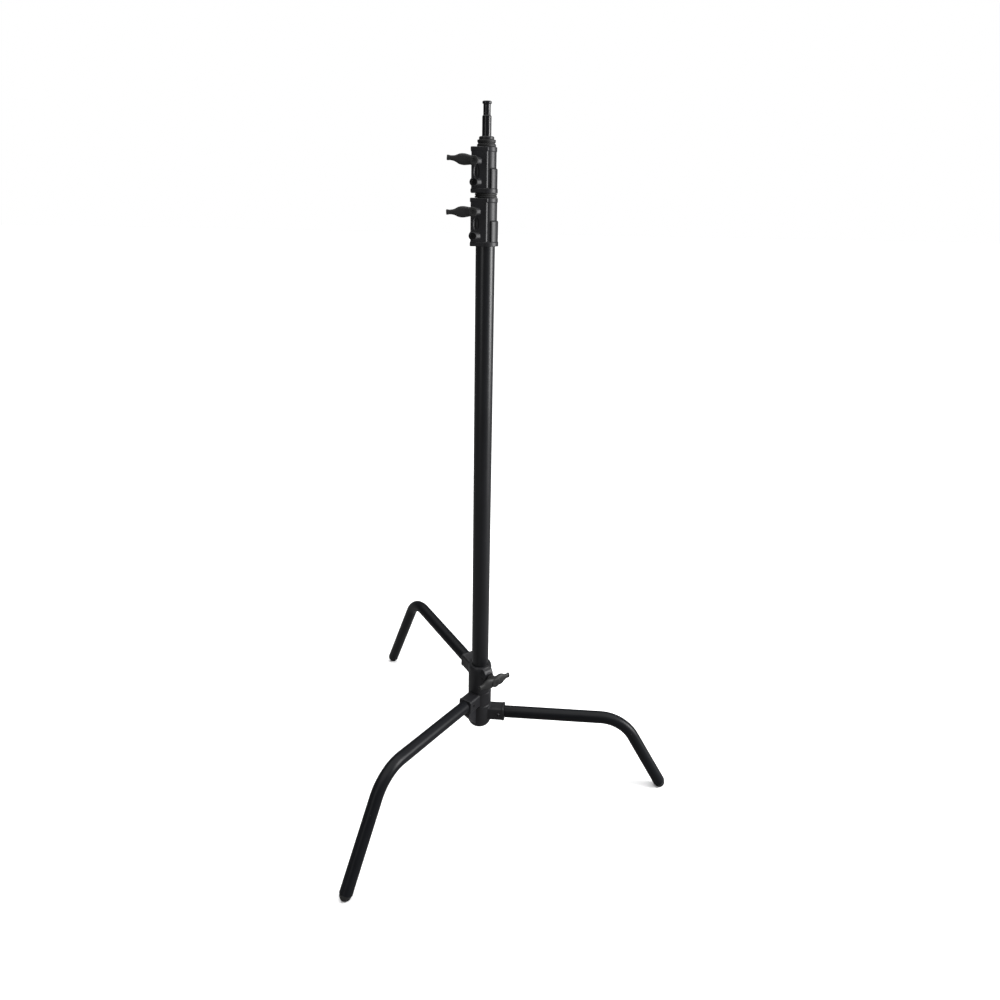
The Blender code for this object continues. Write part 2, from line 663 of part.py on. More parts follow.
def build_clamp(prefix, c, body, lever_body):
    """Pinch bolt, its nut, the lever's nut, the lever and its screw."""
    pivot = pivot_of(body)
    out = boss_end(c)
    m = screw_frame(c, c["pinch_z"])
    bolt = [(0.0, 0.0030 - out), (0.0030, 0.0030 - out), (0.0030, out - 0.0059),
            (0.0050, out - 0.0059), (0.0050, out - 0.0011), (0.0045, out - 0.0005),
            (0.0026, out - 0.0005), (0.0026, out - 0.0032), (0.0, out - 0.0032)]
    settle(add_object(prefix + "_pinch_bolt", lathe(bolt, SCREW_SEG, m), STEEL, body), pivot)
    nut = ring(0.0030 + GAP, 0.0048, 0.0012 - out, 0.0059 - out, 0.0004, SCREW_SEG, m)
    settle(add_object(prefix + "_pinch_nut", nut, STEEL, body), pivot)
    m = screw_frame(c, c["screw_z"])
    nut = ring(SCREW_R + GAP, NUT_R, 0.0012 - out, 0.0087 - out, 0.0004, SCREW_SEG, m)
    settle(add_object(prefix + "_clamp_nut", nut, STEEL, body), pivot)
    wing_plane = lever_plane(c)
    end = wing_plane - 0.0010
    screw = [(0.0, 0.0020 - out), (SCREW_R - 0.0006, 0.0020 - out), (SCREW_R, 0.0026 - out),
             (SCREW_R, out + 0.0005), (FLANGE_R, out + 0.0005), (FLANGE_R, out + 0.0021),
             (SCREW_R, out + 0.0021), (SCREW_R, end), (0.0, end)]
    piece = add_object(prefix + "_lever_screw", lathe(screw, SCREW_SEG, m), STEEL, lever_body)
    settle(piece, pivot_of(lever_body))
    tilt = math.radians(LEVER_TILT[prefix])
    wing = (-math.cos(tilt), 0.0, math.sin(tilt))
    plane = frame_matrix((-c["off"], -wing_plane, c["screw_z"]), (0, -1, 0), wing)
    build_lever(prefix + "_lever", plane, out + 0.0024 - wing_plane, GAP - 0.0010, lever_body)


def build_bumper(name, r_in, radii, z0, z1, parent):
    """Rubber ring with two ridges and a groove between them."""
    r_low, r_groove, r_high = radii
    h = z1 - z0
    profile = [(r_in, z0), (r_low - 0.0006, z0), (r_low, z0 + 0.10 * h),
               (r_low, z0 + 0.30 * h), (r_groove, z0 + 0.42 * h), (r_groove, z0 + 0.58 * h),
               (r_high, z0 + 0.70 * h), (r_high, z0 + 0.90 * h), (r_high - 0.0006, z1),
               (r_in, z1)]
    settle(add_object(name, lathe(profile), RUBBER, parent), pivot_of(parent))


def build_glide(name, disc_r, insert_r, hole_r, top_z, parent):
    """Nylon end plug a riser tube stands on and turns on."""
    z0 = top_z - GAP - GLIDE_DISC_H
    z1 = top_z - GAP
    profile = [(hole_r, z0), (disc_r - 0.0008, z0), (disc_r, z0 + 0.0008), (disc_r, z1),
               (insert_r, z1), (insert_r, z1 + GLIDE_INSERT_H - 0.001),
               (insert_r - 0.001, z1 + GLIDE_INSERT_H), (hole_r, z1 + GLIDE_INSERT_H)]
    settle(add_object(name, lathe(profile), NYLON, parent), pivot_of(parent))


def build_column(root):
    tube = ring(COLUMN_R - TUBE_WALL, COLUMN_R, *COLUMN_Z)
    add_object("column_tube", tube, BLACK_COAT, root)
    build_base_hub(root)
    build_base_screw(root)
    build_leg("right", RIGHT_AZ, RIGHT_H, root)
    build_collar("lower_collar", LOWER, root)
    z1 = LOWER["z"][1]
    bush = ring(RISER1_R + GAP, LOWER["bore"] - GAP, COLUMN_Z[1] + GAP, z1 - 0.0015)
    add_object("lower_bushing", bush, NYLON, root)
    build_bumper("lower_bumper", RISER1_R + 0.0004, (0.0200, 0.0186, 0.0197),
                 z1 + GAP, UPPER["z"][0] - GAP, root)


def build_legs(root, middle, liner, sliding, slide_lever):
    build_middle_hub(middle)
    build_leg("front", FRONT_AZ, FRONT_H, middle)
    z0, z1 = SLIDE_HUB_Z
    sleeve = ring(HUB_BORE, LINER_R, z0 + GAP, z1 - GAP)
    settle(add_object("slide_liner", sleeve, NYLON, liner), pivot_of(liner))
    build_slide_hub(sliding)
    build_leg("back", BACK_AZ, BACK_H, sliding)
    build_slide_clamp(sliding, slide_lever)


def build_first_riser(glide, riser):
    pivot = pivot_of(riser)
    build_glide("first_glide", COLUMN_R - TUBE_WALL - GAP, RISER1_R - TUBE_WALL - GAP,
                0.0060, RISER1_Z[0], glide)
    tube = ring(RISER1_R - TUBE_WALL, RISER1_R, *RISER1_Z)
    settle(add_object("first_riser_tube", tube, BLACK_COAT, riser), pivot)
    build_collar("upper_collar", UPPER, riser)
    z1 = UPPER["z"][1]
    bush = ring(RISER2_R + GAP, UPPER["bore"] - GAP, RISER1_Z[1] + GAP, z1 - 0.0015)
    settle(add_object("upper_bushing", bush, NYLON, riser), pivot)
    build_bumper("upper_bumper", RISER2_R + 0.0004, (0.0166, 0.0148, 0.0161),
                 z1 + GAP, HEAD_Z[0] - GAP, riser)


def build_second_riser(glide, riser):
    pivot = pivot_of(riser)
    build_glide("second_glide", RISER1_R - TUBE_WALL - GAP, RISER2_R - TUBE_WALL - GAP,
                0.0040, RISER2_Z[0], glide)
    tube = add_object("second_riser_tube", ring(RISER2_R - TUBE_WALL, RISER2_R, *RISER2_Z),
                      BLACK_COAT, riser)
    head = add_object("riser_head", head_solid(), CAST_BLACK, riser)
    pin = add_object("grip_pin", pin_solid(), STEEL, riser)
    for obj in (tube, head, pin):
        combine(obj, rod(CROSS_PIN_R + GAP, -0.03, 0.03, 0.0, BOLT_SEG, cross_frame()), 'DIFFERENCE')
        settle(obj, pivot)
    cross = rod(CROSS_PIN_R, -0.0121, 0.0121, 0.0003, BOLT_SEG, cross_frame())
    settle(add_object("cross_pin", cross, STEEL, riser), pivot)


def cross_frame():
    return frame_matrix((0, 0, CROSS_PIN_Z), (0, 1, 0), (1, 0, 0))


def head_solid():
    """Cap of the top riser: a skirt inside the tube and a flange over it."""
    z0, z1 = HEAD_Z
    skirt = RISER2_R - TUBE_WALL - GAP
    profile = [(PIN_R + GAP, 1.2640), (skirt, 1.2640), (skirt, z0), (0.0128, z0),
               (0.0132, z0 + 0.0006), (0.0132, z1 - 0.0012), (0.0120, z1),
               (PIN_R + GAP, z1)]
    return lathe(profile)


def pin_solid():
    """Round grip pin with an undercut neck below its head."""
    z0, z1 = PIN_Z
    n0, n1 = PIN_NECK_Z
    r, n = PIN_R, PIN_NECK_R
    profile = [(0.0, z0), (r - 0.0005, z0), (r, z0 + 0.0005), (r, n0), (n, n0 + 0.0012),
               (n, n1), (r, n1 + 0.0006), (r, z1 - 0.0010), (r - 0.0010, z1), (0.0, z1)]
    return lathe(profile)


def build_stand():
    root = add_empty("stand", (0, 0, 0), None)
    middle = add_empty("middle_leg_axis", (0, 0, 0.174), root)
    liner = add_empty("liner_axis", (0, 0, 0.220), root)
    sliding = add_empty("sliding_leg_axis", (0, 0, 0.220), liner)
    slide_lever = add_empty("slide_lever_axis", slide_lever_frame(SLIDE_LEVER_PLANE).translation,
                            sliding)
    lower_lever = add_empty("lower_lever_axis", screw_frame(LOWER, LOWER["screw_z"],
                                                            lever_plane(LOWER)).translation, root)
    glide1 = add_empty("first_glide_axis", (0, 0, 0.131), root)
    riser1 = add_empty("first_riser_axis", (0, 0, 1.206), glide1)
    upper_lever = add_empty("upper_lever_axis", screw_frame(UPPER, UPPER["screw_z"],
                                                            lever_plane(UPPER)).translation, riser1)
    glide2 = add_empty("second_glide_axis", (0, 0, 0.166), riser1)
    riser2 = add_empty("second_riser_axis", (0, 0, 1.2948), glide2)
    build_column(root)
    build_legs(root, middle, liner, sliding, slide_lever)
    build_clamp("lower", LOWER, root, lower_lever)
    build_first_riser(glide1, riser1)
    build_clamp("upper", UPPER, riser1, upper_lever)
    build_second_riser(glide2, riser2)
    return root


def centre_on_floor(root):
    """Move the stand so its bounding box's bottom centre is the origin."""
    bpy.context.view_layer.update()
    low = Vector((1e9, 1e9, 1e9))
    high = -low
    for obj in bpy.data.objects:
        if obj.type != 'MESH':
            continue
        for v in obj.data.vertices:
            p = obj.matrix_world @ v.co
            for k in range(3):
                low[k] = min(low[k], p[k])
                high[k] = max(high[k], p[k])
    root.location = (-(low.x + high.x) / 2, -(low.y + high.y) / 2, -low.z)
    bpy.context.view_layer.update()


clear_scene()
centre_on_floor(build_stand())
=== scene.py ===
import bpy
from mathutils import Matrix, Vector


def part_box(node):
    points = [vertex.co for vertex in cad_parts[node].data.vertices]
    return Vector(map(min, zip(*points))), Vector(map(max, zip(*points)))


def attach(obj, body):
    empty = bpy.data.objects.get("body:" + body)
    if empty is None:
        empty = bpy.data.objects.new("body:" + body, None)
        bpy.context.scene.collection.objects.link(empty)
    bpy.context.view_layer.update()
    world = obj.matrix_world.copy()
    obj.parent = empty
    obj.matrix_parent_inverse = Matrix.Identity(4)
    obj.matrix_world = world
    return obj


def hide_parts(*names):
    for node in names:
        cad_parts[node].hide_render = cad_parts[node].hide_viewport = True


bl_info = {
    "name": "Grip stand with a sliding leg",
    "version": (1, 0, 0),
    "blender": (4, 5, 0),
    "location": "View3D > Sidebar > Grip stand",
    "description": "Builds the visible pieces and finishes of a folding grip stand round its frame",
    "category": "Object",
}

import math

import bmesh
import bpy
from bpy.props import FloatProperty, FloatVectorProperty, PointerProperty
from mathutils import Matrix, Vector

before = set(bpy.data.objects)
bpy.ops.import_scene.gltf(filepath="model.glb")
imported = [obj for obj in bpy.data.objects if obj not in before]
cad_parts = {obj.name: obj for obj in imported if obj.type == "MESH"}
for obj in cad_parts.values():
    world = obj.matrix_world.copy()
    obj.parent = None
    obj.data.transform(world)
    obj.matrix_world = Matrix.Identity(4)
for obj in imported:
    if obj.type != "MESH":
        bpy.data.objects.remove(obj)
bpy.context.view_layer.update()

TUBE_LOW, TUBE_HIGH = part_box("column_tube")
AXIS = Vector(((TUBE_LOW[0] + TUBE_HIGH[0]) / 2, (TUBE_LOW[1] + TUBE_HIGH[1]) / 2, 0.0))
UP = Vector((0.0, 0.0, 1.0))

CLEARANCE = 0.0003
PAST = 0.02
LEVER_SCREW_R = 0.0040
LEVER_NUT_R = 0.0056
PINCH_R = 0.0030
PINCH_HEAD_R = 0.0050
PINCH_NUT_R = 0.0048
LEG_BOLT_R = 0.0025
SET_SCREW_R = 0.0030
SET_SCREW_HEIGHT = 0.128
COLUMN_SEAT = 0.1112


def length(name, description, default):
    return FloatProperty(name=name, description=description, default=default,
                         min=0.0, precision=5, unit='LENGTH', subtype='DISTANCE')


def angle(name, description, degrees):
    return FloatProperty(name=name, description=description, default=math.radians(degrees),
                         precision=3, unit='ROTATION', subtype='ANGLE')


def share(name, description, default):
    return FloatProperty(name=name, description=description, default=default,
                         min=0.0, max=1.0, precision=3, subtype='FACTOR')


def colour(name, description, default):
    return FloatVectorProperty(name=name, description=description, default=default,
                               size=3, min=0.0, max=1.0, subtype='COLOR')


# ---------------------------------------------------------------- settings

class StandTubes(bpy.types.PropertyGroup):
    column_radius: length("Column radius", "Outer radius of the fixed column tube", 0.0175)
    first_radius: length("First riser radius", "Outer radius of the lower riser tube", 0.0150)
    second_radius: length("Second riser radius", "Outer radius of the top riser tube", 0.0125)
    leg_radius: length("Leg radius", "Outer radius of the bent leg tubes", 0.0125)
    wall: length("Wall", "Wall thickness of every tube", 0.0015)


class StandLegs(bpy.types.PropertyGroup):
    right_heading: angle("Fixed leg heading", "Direction of the fixed leg on the floor", 349.57)
    front_heading: angle("Front leg heading", "Direction of the turning leg at rest", 235.87)
    back_heading: angle("Back leg heading", "Direction of the sliding leg at rest", 121.49)
    right_height: length("Fixed leg height", "Centreline height where it leaves its hub", 0.1369)
    front_height: length("Front leg height", "Centreline height where it leaves its hub", 0.1748)
    back_height: length("Back leg height", "Centreline height where it leaves its hub", 0.231)
    height_radius: length("Height radius", "Distance from the axis at which heights count", 0.030)
    start_radius: length("Start radius", "Where a leg tube starts in its socket", 0.0237)
    corner_radius: length("Corner distance", "Where the two straight runs would meet", 0.306)
    bend_radius: length("Bend radius", "Centreline radius of the bend", 0.075)
    rise: angle("Rise", "Slope of the inner run, rising outwards", 3.96)
    fall: angle("Fall", "Slope of the outer run, falling outwards", 59.3)
    foot_centre: length("Foot centre", "Height of the round foot's centre", 0.0120)
    socket_end: length("Socket end", "Distance from the axis to the socket's mouth", 0.055)
    socket_half: length("Socket half width", "Half the width of a square socket", 0.0142)
    lip_half: length("Lip half width", "Half the width of the lip round the mouth", 0.0149)
    bolt_radius: length("Bolt distance", "Distance from the axis to a leg bolt", 0.042)


class StandHubs(bpy.types.PropertyGroup):
    base_low: length("Base hub underside", "Lowest point of the fixed hub", 0.1030)
    base_high: length("Base hub top", "Top of the fixed hub", 0.1580)
    base_radius: length("Base hub radius", "Outer radius of the fixed hub", 0.0245)
    middle_low: length("Middle hub underside", "Underside of the turning hub", 0.1586)
    middle_high: length("Middle hub top", "Top of the turning hub", 0.1890)
    slide_low: length("Sliding hub underside", "Underside of the sliding hub", 0.1896)
    slide_high: length("Sliding hub top", "Top of the sliding hub", 0.2520)
    ring_radius: length("Ring radius", "Outer radius of the turning and sliding hubs", 0.0245)
    slide_bore: length("Sliding hub bore", "Bore round the nylon liner", 0.0192)
    lever_heading: angle("Lever heading", "Direction of the sliding hub's screw", 308.0)
    lever_height: length("Lever height", "Height of the sliding hub's screw", 0.233)
    lever_plane: length("Lever distance", "Distance from the axis to the lever's wings", 0.0490)
    boss_end: length("Boss end", "Distance from the axis to the screw boss's end", 0.0325)
    lever_reach: share("Lever reach", "Length of its two wings beside a collar lever's", 0.85)
    lever_bulk: FloatProperty(name="Lever bulk", description="Width of its wings and hub beside a "
                              "collar lever's", default=1.25, min=0.5, max=2.0, subtype='FACTOR')


class StandCollar(bpy.types.PropertyGroup):
    low: length("Underside", "Underside of the collar", 1.115)
    high: length("Top", "Top of the collar", 1.198)
    body: length("Body radius", "Radius between the bands", 0.0203)
    top_band: length("Top band radius", "Radius of the top band", 0.0212)
    pad: length("Pad radius", "Radius of the thick lower half", 0.0225)
    bottom_band: length("Bottom band radius", "Radius of the bottom band", 0.0234)
    bore: length("Bore radius", "Radius of the bore", 0.0178)
    ear: length("Ear reach", "Distance from the axis to the ears' edge", 0.0267)
    face: length("Block half width", "Half the width of the clamp block", 0.0222)
    offset: length("Screw offset", "Distance from the axis to the screws", 0.0223)
    screw: length("Lever screw height", "Height of the lever screw", 1.1745)
    pinch: length("Pinch bolt height", "Height of the pinch bolt", 1.1330)
    pad_high: length("Pad top", "Height at which the pad ends", 1.1595)
    boss: length("Boss height", "How far the screw bosses stand out of the block", 0.0053)
    lever: length("Lever distance", "From a boss's end to the middle of the lever", 0.0145)
    tilt: angle("Lever tilt", "Slope of the lever's wing at rest", -1.7)


class StandHead(bpy.types.PropertyGroup):
    low: length("Foot", "Lower end of the head and of the pin, inside the riser", 1.2640)
    plug: length("Plug radius", "Radius of the head inside the riser", 0.0107)
    flange: length("Flange radius", "Radius of the flange on the riser's end", 0.0132)
    flange_low: length("Flange underside", "Underside of the flange", 1.2948)
    flange_high: length("Flange top", "Top of the flange", 1.3000)
    pin: length("Pin radius", "Outer radius of the grip pin", 0.0080)
    neck: length("Neck radius", "Radius of the pin's neck", 0.00635)
    neck_low: length("Neck start", "Lower end of the pin's neck", 1.3342)
    neck_high: length("Neck end", "Upper end of the pin's neck", 1.3522)
    top: length("Pin top", "Top of the grip pin", 1.3570)
    cross_height: length("Cross pin height", "Height of the cross pin's hole", 1.2740)
    cross_bore: length("Cross pin bore", "Radius of the cross pin's hole", 0.0023)


class StandFinish(bpy.types.PropertyGroup):
    coat: colour("Tube coat", "Powder coat on the tubes", (0.0050, 0.0053, 0.0064))
    coat_rough: share("Tube coat roughness", "Roughness of the powder coat", 0.36)
    casting: colour("Casting coat", "Coat on collars and hubs", (0.0098, 0.0098, 0.0112))
    casting_rough: share("Casting roughness", "Roughness of the casting coat", 0.44)
    plastic: colour("Lever plastic", "Moulded plastic of the levers", (0.0042, 0.0043, 0.0043))
    rubber: colour("Rubber", "Feet and bumper rings", (0.0055, 0.0055, 0.0056))
    nylon: colour("Nylon", "Bushings, liner and glides", (0.020, 0.020, 0.021))
    steel: colour("Plated steel", "Nuts, lever screws and cross pin", (0.46, 0.46, 0.48))
    black_steel: colour("Blackened steel", "Bolts and set screw", (0.030, 0.030, 0.032))
    brass: colour("Brass", "Brake shoe", (0.62, 0.45, 0.18))


class StandStage(bpy.types.PropertyGroup):
    floor: colour("Floor", "Colour of the studio floor", (0.93, 0.93, 0.93))
    bounce: share("Floor bounce", "How much of its light the floor passes back to the stand", 0.22)
    focal: FloatProperty(name="Focal length", description="Camera focal length",
                         default=26.964, unit='CAMERA')
    distance: length("Camera distance", "From the column axis to the camera", 1.386)
    height: length("Camera height", "Height of the camera over the floor", 1.187)
    yaw: angle("Yaw", "Turn of the camera to the right", 1.43)
    pitch: angle("Pitch", "Downward tilt of the camera", 16.31)
    roll: angle("Roll", "Roll of the camera", 1.12)
    shift_x: FloatProperty(name="Shift X", description="Sideways lens shift", default=-0.001)
    shift_y: FloatProperty(name="Shift Y", description="Upward lens shift", default=-0.0761)


# ---------------------------------------------------------------- finishes

class Wire:
    """One socket of a finish, so that sums can be written as expressions."""

    def __init__(self, finish, socket):
        self.finish = finish
        self.socket = socket

    def math(self, operation, a, b):
        return self.finish.node("ShaderNodeMath", {"operation": operation}, {0: a, 1: b})

    def __add__(self, other):
        return self.math('ADD', self, other)

    __radd__ = __add__

    def __sub__(self, other):
        return self.math('SUBTRACT', self, other)

    def __rsub__(self, other):
        return self.math('SUBTRACT', other, self)

    def __mul__(self, other):
        return self.math('MULTIPLY', self, other)

    __rmul__ = __mul__


class Finish:
    """A procedural material being put together round one shader."""

    def __init__(self, name):
        self.material = bpy.data.materials.new(name)
        self.material.use_nodes = True
        self.tree = self.material.node_tree
        self.shader = self.tree.nodes["Principled BSDF"]

    def node(self, kind, settings=None, inputs=None, output=0):
        """Adds a node: its settings first, then values or links on its sockets."""
        made = self.tree.nodes.new(kind)
        for key, value in (settings or {}).items():
            setattr(made, key, value)
        for key, value in (inputs or {}).items():
            self.feed(made.inputs[key], value)
        return Wire(self, made.outputs[output])

    def feed(self, socket, value):
        if isinstance(value, Wire):
            self.tree.links.new(value.socket, socket)
        else:
            socket.default_value = value

    def place(self):
        return self.node("ShaderNodeTexCoord", output=3)

    def stretched(self, scale):
        return self.node("ShaderNodeVectorMath", {"operation": 'MULTIPLY'},
                         {0: self.place(), 1: scale})

    def noise(self, scale, detail=2.0, rough=0.5, where=None):
        return self.node("ShaderNodeTexNoise", {"noise_dimensions": '3D'},
                         {"Vector": where or self.place(), "Scale": scale,
                          "Detail": detail, "Roughness": rough})

    def ramp(self, value, low, high):
        """0 below low, 1 above high, straight between."""
        return self.node("ShaderNodeMapRange", {"clamp": True},
                         {"Value": value, "From Min": low, "From Max": high})

    def blend(self, factor, a, b):
        """Colour a where factor is 0, colour b where it is 1."""
        return self.node("ShaderNodeMix", {"data_type": 'RGBA'}, {0: factor, 6: a, 7: b}, 2)

    def bump(self, height, strength, distance, under=None):
        inputs = {"Height": height, "Strength": strength, "Distance": distance}
        if under is not None:
            inputs["Normal"] = under
        return self.node("ShaderNodeBump", None, inputs)

    def set(self, **values):
        for key, value in values.items():
            self.feed(self.shader.inputs[key.replace("_", " ")], value)
        return self.material


def tone(value, times=1.0, lift=0.0):
    return (*[min(1.0, c * times + lift) for c in value], 1.0)


def powder_coat(name, base, rough, shine=0.26):
    """Satin powder coat: fine orange peel, cloudy sheen and faint handling marks."""
    f = Finish(name)
    cloud = f.noise(9.0, 4.0, 0.6)
    peel = f.noise(1500.0, 2.0, 0.5)
    grit = f.noise(5200.0, 1.0, 0.5)
    rubbed = f.ramp(f.noise(3.0, 6.0, 0.7, f.stretched((26.0, 26.0, 2.2))), 0.60, 0.78)
    nick = f.ramp(f.noise(160.0, 3.0, 0.6), 0.735, 0.765)
    paint = f.blend(f.ramp(cloud, 0.3, 0.7), tone(base, 0.86), tone(base, 1.18))
    paint = f.blend(rubbed * 0.5, paint, tone(base, 1.6, 0.002))
    paint = f.blend(nick * 0.55, paint, (0.085, 0.082, 0.078, 1.0))
    gloss = rough + (cloud - 0.5) * 0.10 + rubbed * 0.07 + (peel - 0.5) * 0.05
    surface = f.bump(peel + grit * 0.35 - nick * 0.8, 0.16, 0.00012)
    return f.set(Base_Color=paint, Roughness=gloss, Metallic=0.0,
                 Specular_IOR_Level=shine, Normal=surface)


def casting_coat(name, base, rough):
    """Coated die casting: coarser skin, worn and slightly brighter on its edges, and darkened in its
    hollows by painted shade.
    """
    f = Finish(name)
    cloud = f.noise(38.0, 4.0, 0.6)
    skin = f.noise(1100.0, 3.0, 0.6)
    dimple = f.noise(340.0, 2.0, 0.5)
    edge = f.node("ShaderNodeNewGeometry", output=7)
    worn = f.ramp(edge + (f.noise(210.0, 4.0, 0.7) - 0.5) * 0.10, 0.535, 0.60)
    # hollow marks the concave places (low pointiness): painted shade, which darkens the colour there
    # and roughens it
    hollow = f.ramp(edge, 0.46, 0.40)
    paint = f.blend(f.ramp(cloud, 0.3, 0.7), tone(base, 0.85), tone(base, 1.20))
    # Painted shade: the hollows are painted darker, standing in for the shade that falls in them
    paint = f.blend(hollow * 0.6, paint, tone(base, 0.55))
    paint = f.blend(worn * 0.45, paint, (0.060, 0.060, 0.064, 1.0))
    gloss = rough + (cloud - 0.5) * 0.12 - worn * 0.10 + hollow * 0.10
    surface = f.bump(skin + dimple * 0.6, 0.22, 0.00018)
    return f.set(Base_Color=paint, Roughness=gloss, Metallic=0.0,
                 Specular_IOR_Level=0.24, Normal=surface)


def moulded_plastic(name, base):
    """Matte spark-eroded plastic with a little polish where hands go."""
    f = Finish(name)
    grain = f.noise(2300.0, 2.0, 0.6)
    cloud = f.noise(55.0, 3.0, 0.6)
    edge = f.node("ShaderNodeNewGeometry", output=7)
    polish = f.ramp(edge, 0.52, 0.60)
    paint = f.blend(f.ramp(cloud, 0.3, 0.7), tone(base, 0.85), tone(base, 1.25))
    paint = f.blend(polish * 0.4, paint, tone(base, 1.7, 0.004))
    gloss = 0.62 + (cloud - 0.5) * 0.10 - polish * 0.16
    return f.set(Base_Color=paint, Roughness=gloss, Metallic=0.0,
                 Specular_IOR_Level=0.40, Normal=f.bump(grain, 0.30, 0.00012))


def black_rubber(name, base):
    """Rubber with a dusty bloom and scuffed ridges."""
    f = Finish(name)
    grain = f.noise(1700.0, 3.0, 0.6)
    dust = f.ramp(f.noise(70.0, 5.0, 0.7), 0.52, 0.78)
    edge = f.node("ShaderNodeNewGeometry", output=7)
    scuff = f.ramp(edge + (f.noise(300.0, 3.0, 0.6) - 0.5) * 0.12, 0.54, 0.62)
    paint = f.blend(dust * 0.35, tone(base), tone(base, 1.7, 0.006))
    paint = f.blend(scuff * 0.45, paint, tone(base, 2.4, 0.010))
    gloss = 0.66 + dust * 0.14 + (grain - 0.5) * 0.06
    return f.set(Base_Color=paint, Roughness=gloss, Metallic=0.0,
                 Specular_IOR_Level=0.38, Normal=f.bump(grain, 0.25, 0.00015))


def plain_nylon(name, base):
    f = Finish(name)
    cloud = f.noise(80.0, 3.0, 0.6)
    turned = f.noise(900.0, 2.0, 0.5, f.stretched((1.0, 1.0, 4.0)))
    paint = f.blend(cloud, tone(base, 0.8), tone(base, 1.3))
    return f.set(Base_Color=paint, Roughness=0.46 + (cloud - 0.5) * 0.16, Metallic=0.0,
                 Normal=f.bump(turned, 0.15, 0.0001))


def plated_metal(name, base, stain):
    """Plated or bare metal with fine turning marks and dull patches."""
    f = Finish(name)
    cloud = f.noise(120.0, 4.0, 0.6)
    turning = f.noise(1400.0, 2.0, 0.5)
    dull = f.ramp(f.noise(260.0, 4.0, 0.7), 0.54, 0.74)
    paint = f.blend(f.ramp(cloud, 0.3, 0.7), tone(base, 0.88), tone(base, 1.08))
    paint = f.blend(dull * 0.5, paint, stain)
    gloss = 0.27 + dull * 0.22 + (cloud - 0.5) * 0.10
    return f.set(Base_Color=paint, Roughness=gloss, Metallic=0.96 - dull * 0.10,
                 Normal=f.bump(turning, 0.10, 0.00008))


def finish_for(node, settings):
    """The finish of one CAD node, named after it."""
    name = "finish_" + node
    if node.endswith("_leg_tube"):
        return powder_coat(name, settings.coat, settings.coat_rough, 0.10)
    if node.endswith("_tube"):
        return powder_coat(name, settings.coat, settings.coat_rough)
    if node.endswith(("_hub", "_collar", "_head")):
        return casting_coat(name, settings.casting, settings.casting_rough)
    if node.endswith("_lever"):
        return moulded_plastic(name, settings.plastic)
    if node.endswith(("_foot", "_bumper")):
        return black_rubber(name, settings.rubber)
    if node.endswith(("_bushing", "_liner", "_glide")):
        return plain_nylon(name, settings.nylon)
    if node == "brake_shoe":
        return plated_metal(name, settings.brass, (0.30, 0.20, 0.08, 1.0))
    if node == "grip_pin":
        return powder_coat(name, settings.coat, settings.coat_rough - 0.06)
    if node.endswith(("_bolt", "_set_screw")):
        return plated_metal(name, settings.black_steel, (0.055, 0.050, 0.045, 1.0))
    return plated_metal(name, settings.steel, (0.20, 0.20, 0.20, 1.0))


# ---------------------------------------------------------------- mesh makers

def heading(a):
    return Vector((math.cos(a), math.sin(a), 0.0))


def aim(origin, z_dir, x_dir):
    """Matrix whose Z is z_dir and whose X is x_dir made square to it."""
    z = Vector(z_dir).normalized()
    y = z.cross(Vector(x_dir)).normalized()
    m = Matrix((y.cross(z), y, z)).transposed().to_4x4()
    m.translation = Vector(origin)
    return m


def stand_place(matrix=None):
    """From column coordinates to the frame's own."""
    move = Matrix.Translation(AXIS)
    return move if matrix is None else move @ matrix


def fillet(profile, radius, steps=4):
    """Rounds the inner corners of an open profile of (radius, height) points."""
    points = [Vector(p) for p in profile]
    out = [points[0]]
    for before, here, after in zip(points, points[1:], points[2:]):
        a, b = before - here, after - here
        cut = min(radius, a.length * 0.45, b.length * 0.45)
        if cut < 1e-5 or abs(a.normalized().cross(b.normalized())) < 0.05:
            out.append(here)
            continue
        start, end = here + a.normalized() * cut, here + b.normalized() * cut
        for i in range(steps + 1):
            t = i / steps
            out.append(start * (1 - t) ** 2 + here * (2 * t * (1 - t)) + end * t ** 2)
    out.append(points[-1])
    return out


def turn(profile, sides=96, matrix=None):
    """Solid of revolution about local Z."""
    bm = bmesh.new()
    rings = []
    for r, z in profile:
        if r < 1e-7:
            rings.append([bm.verts.new((0.0, 0.0, z))])
            continue
        rings.append([bm.verts.new((r * math.cos(2 * math.pi * i / sides),
                                    r * math.sin(2 * math.pi * i / sides), z))
                      for i in range(sides)])
    last = len(rings) if profile[0][0] > 1e-7 else len(rings) - 1
    for k in range(last):
        bridge(bm, rings[k], rings[(k + 1) % len(rings)])
    return placed(bm, matrix)


def bridge(bm, a, b):
    n = max(len(a), len(b))
    for i in range(n):
        j = (i + 1) % n
        if len(a) == 1:
            bm.faces.new((a[0], b[j], b[i]))
        elif len(b) == 1:
            bm.faces.new((a[i], a[j], b[0]))
        else:
            bm.faces.new((a[i], a[j], b[j], b[i]))


def placed(bm, matrix):
    bmesh.ops.recalc_face_normals(bm, faces=bm.faces)
    bmesh.ops.transform(bm, matrix=stand_place(matrix), verts=bm.verts)
    return bm


def bar(r, z0, z1, sides=64, matrix=None):
    return turn([(0.0, z0), (r, z0), (r, z1), (0.0, z1)], sides, matrix)


def loft(loops, matrix=None):
    """Closed solid through a row of point loops."""
    bm = bmesh.new()
    rings = [[bm.verts.new(p) for p in loop] for loop in loops]
    for a, b in zip(rings, rings[1:]):
        bridge(bm, a, b)
    bm.faces.new(list(reversed(rings[0])))
    bm.faces.new(rings[-1])
    return placed(bm, matrix)


def block(low, high, bevel, matrix=None, segments=4):
    bm = bmesh.new()
    size = Vector(high) - Vector(low)
    m = Matrix.Diagonal((*size, 1.0))
    m.translation = (Vector(high) + Vector(low)) / 2
    bmesh.ops.create_cube(bm, size=1.0, matrix=m)
    bmesh.ops.bevel(bm, geom=list(bm.edges), offset=bevel, segments=segments,
                    affect='EDGES', profile=0.5)
    return placed(bm, matrix)


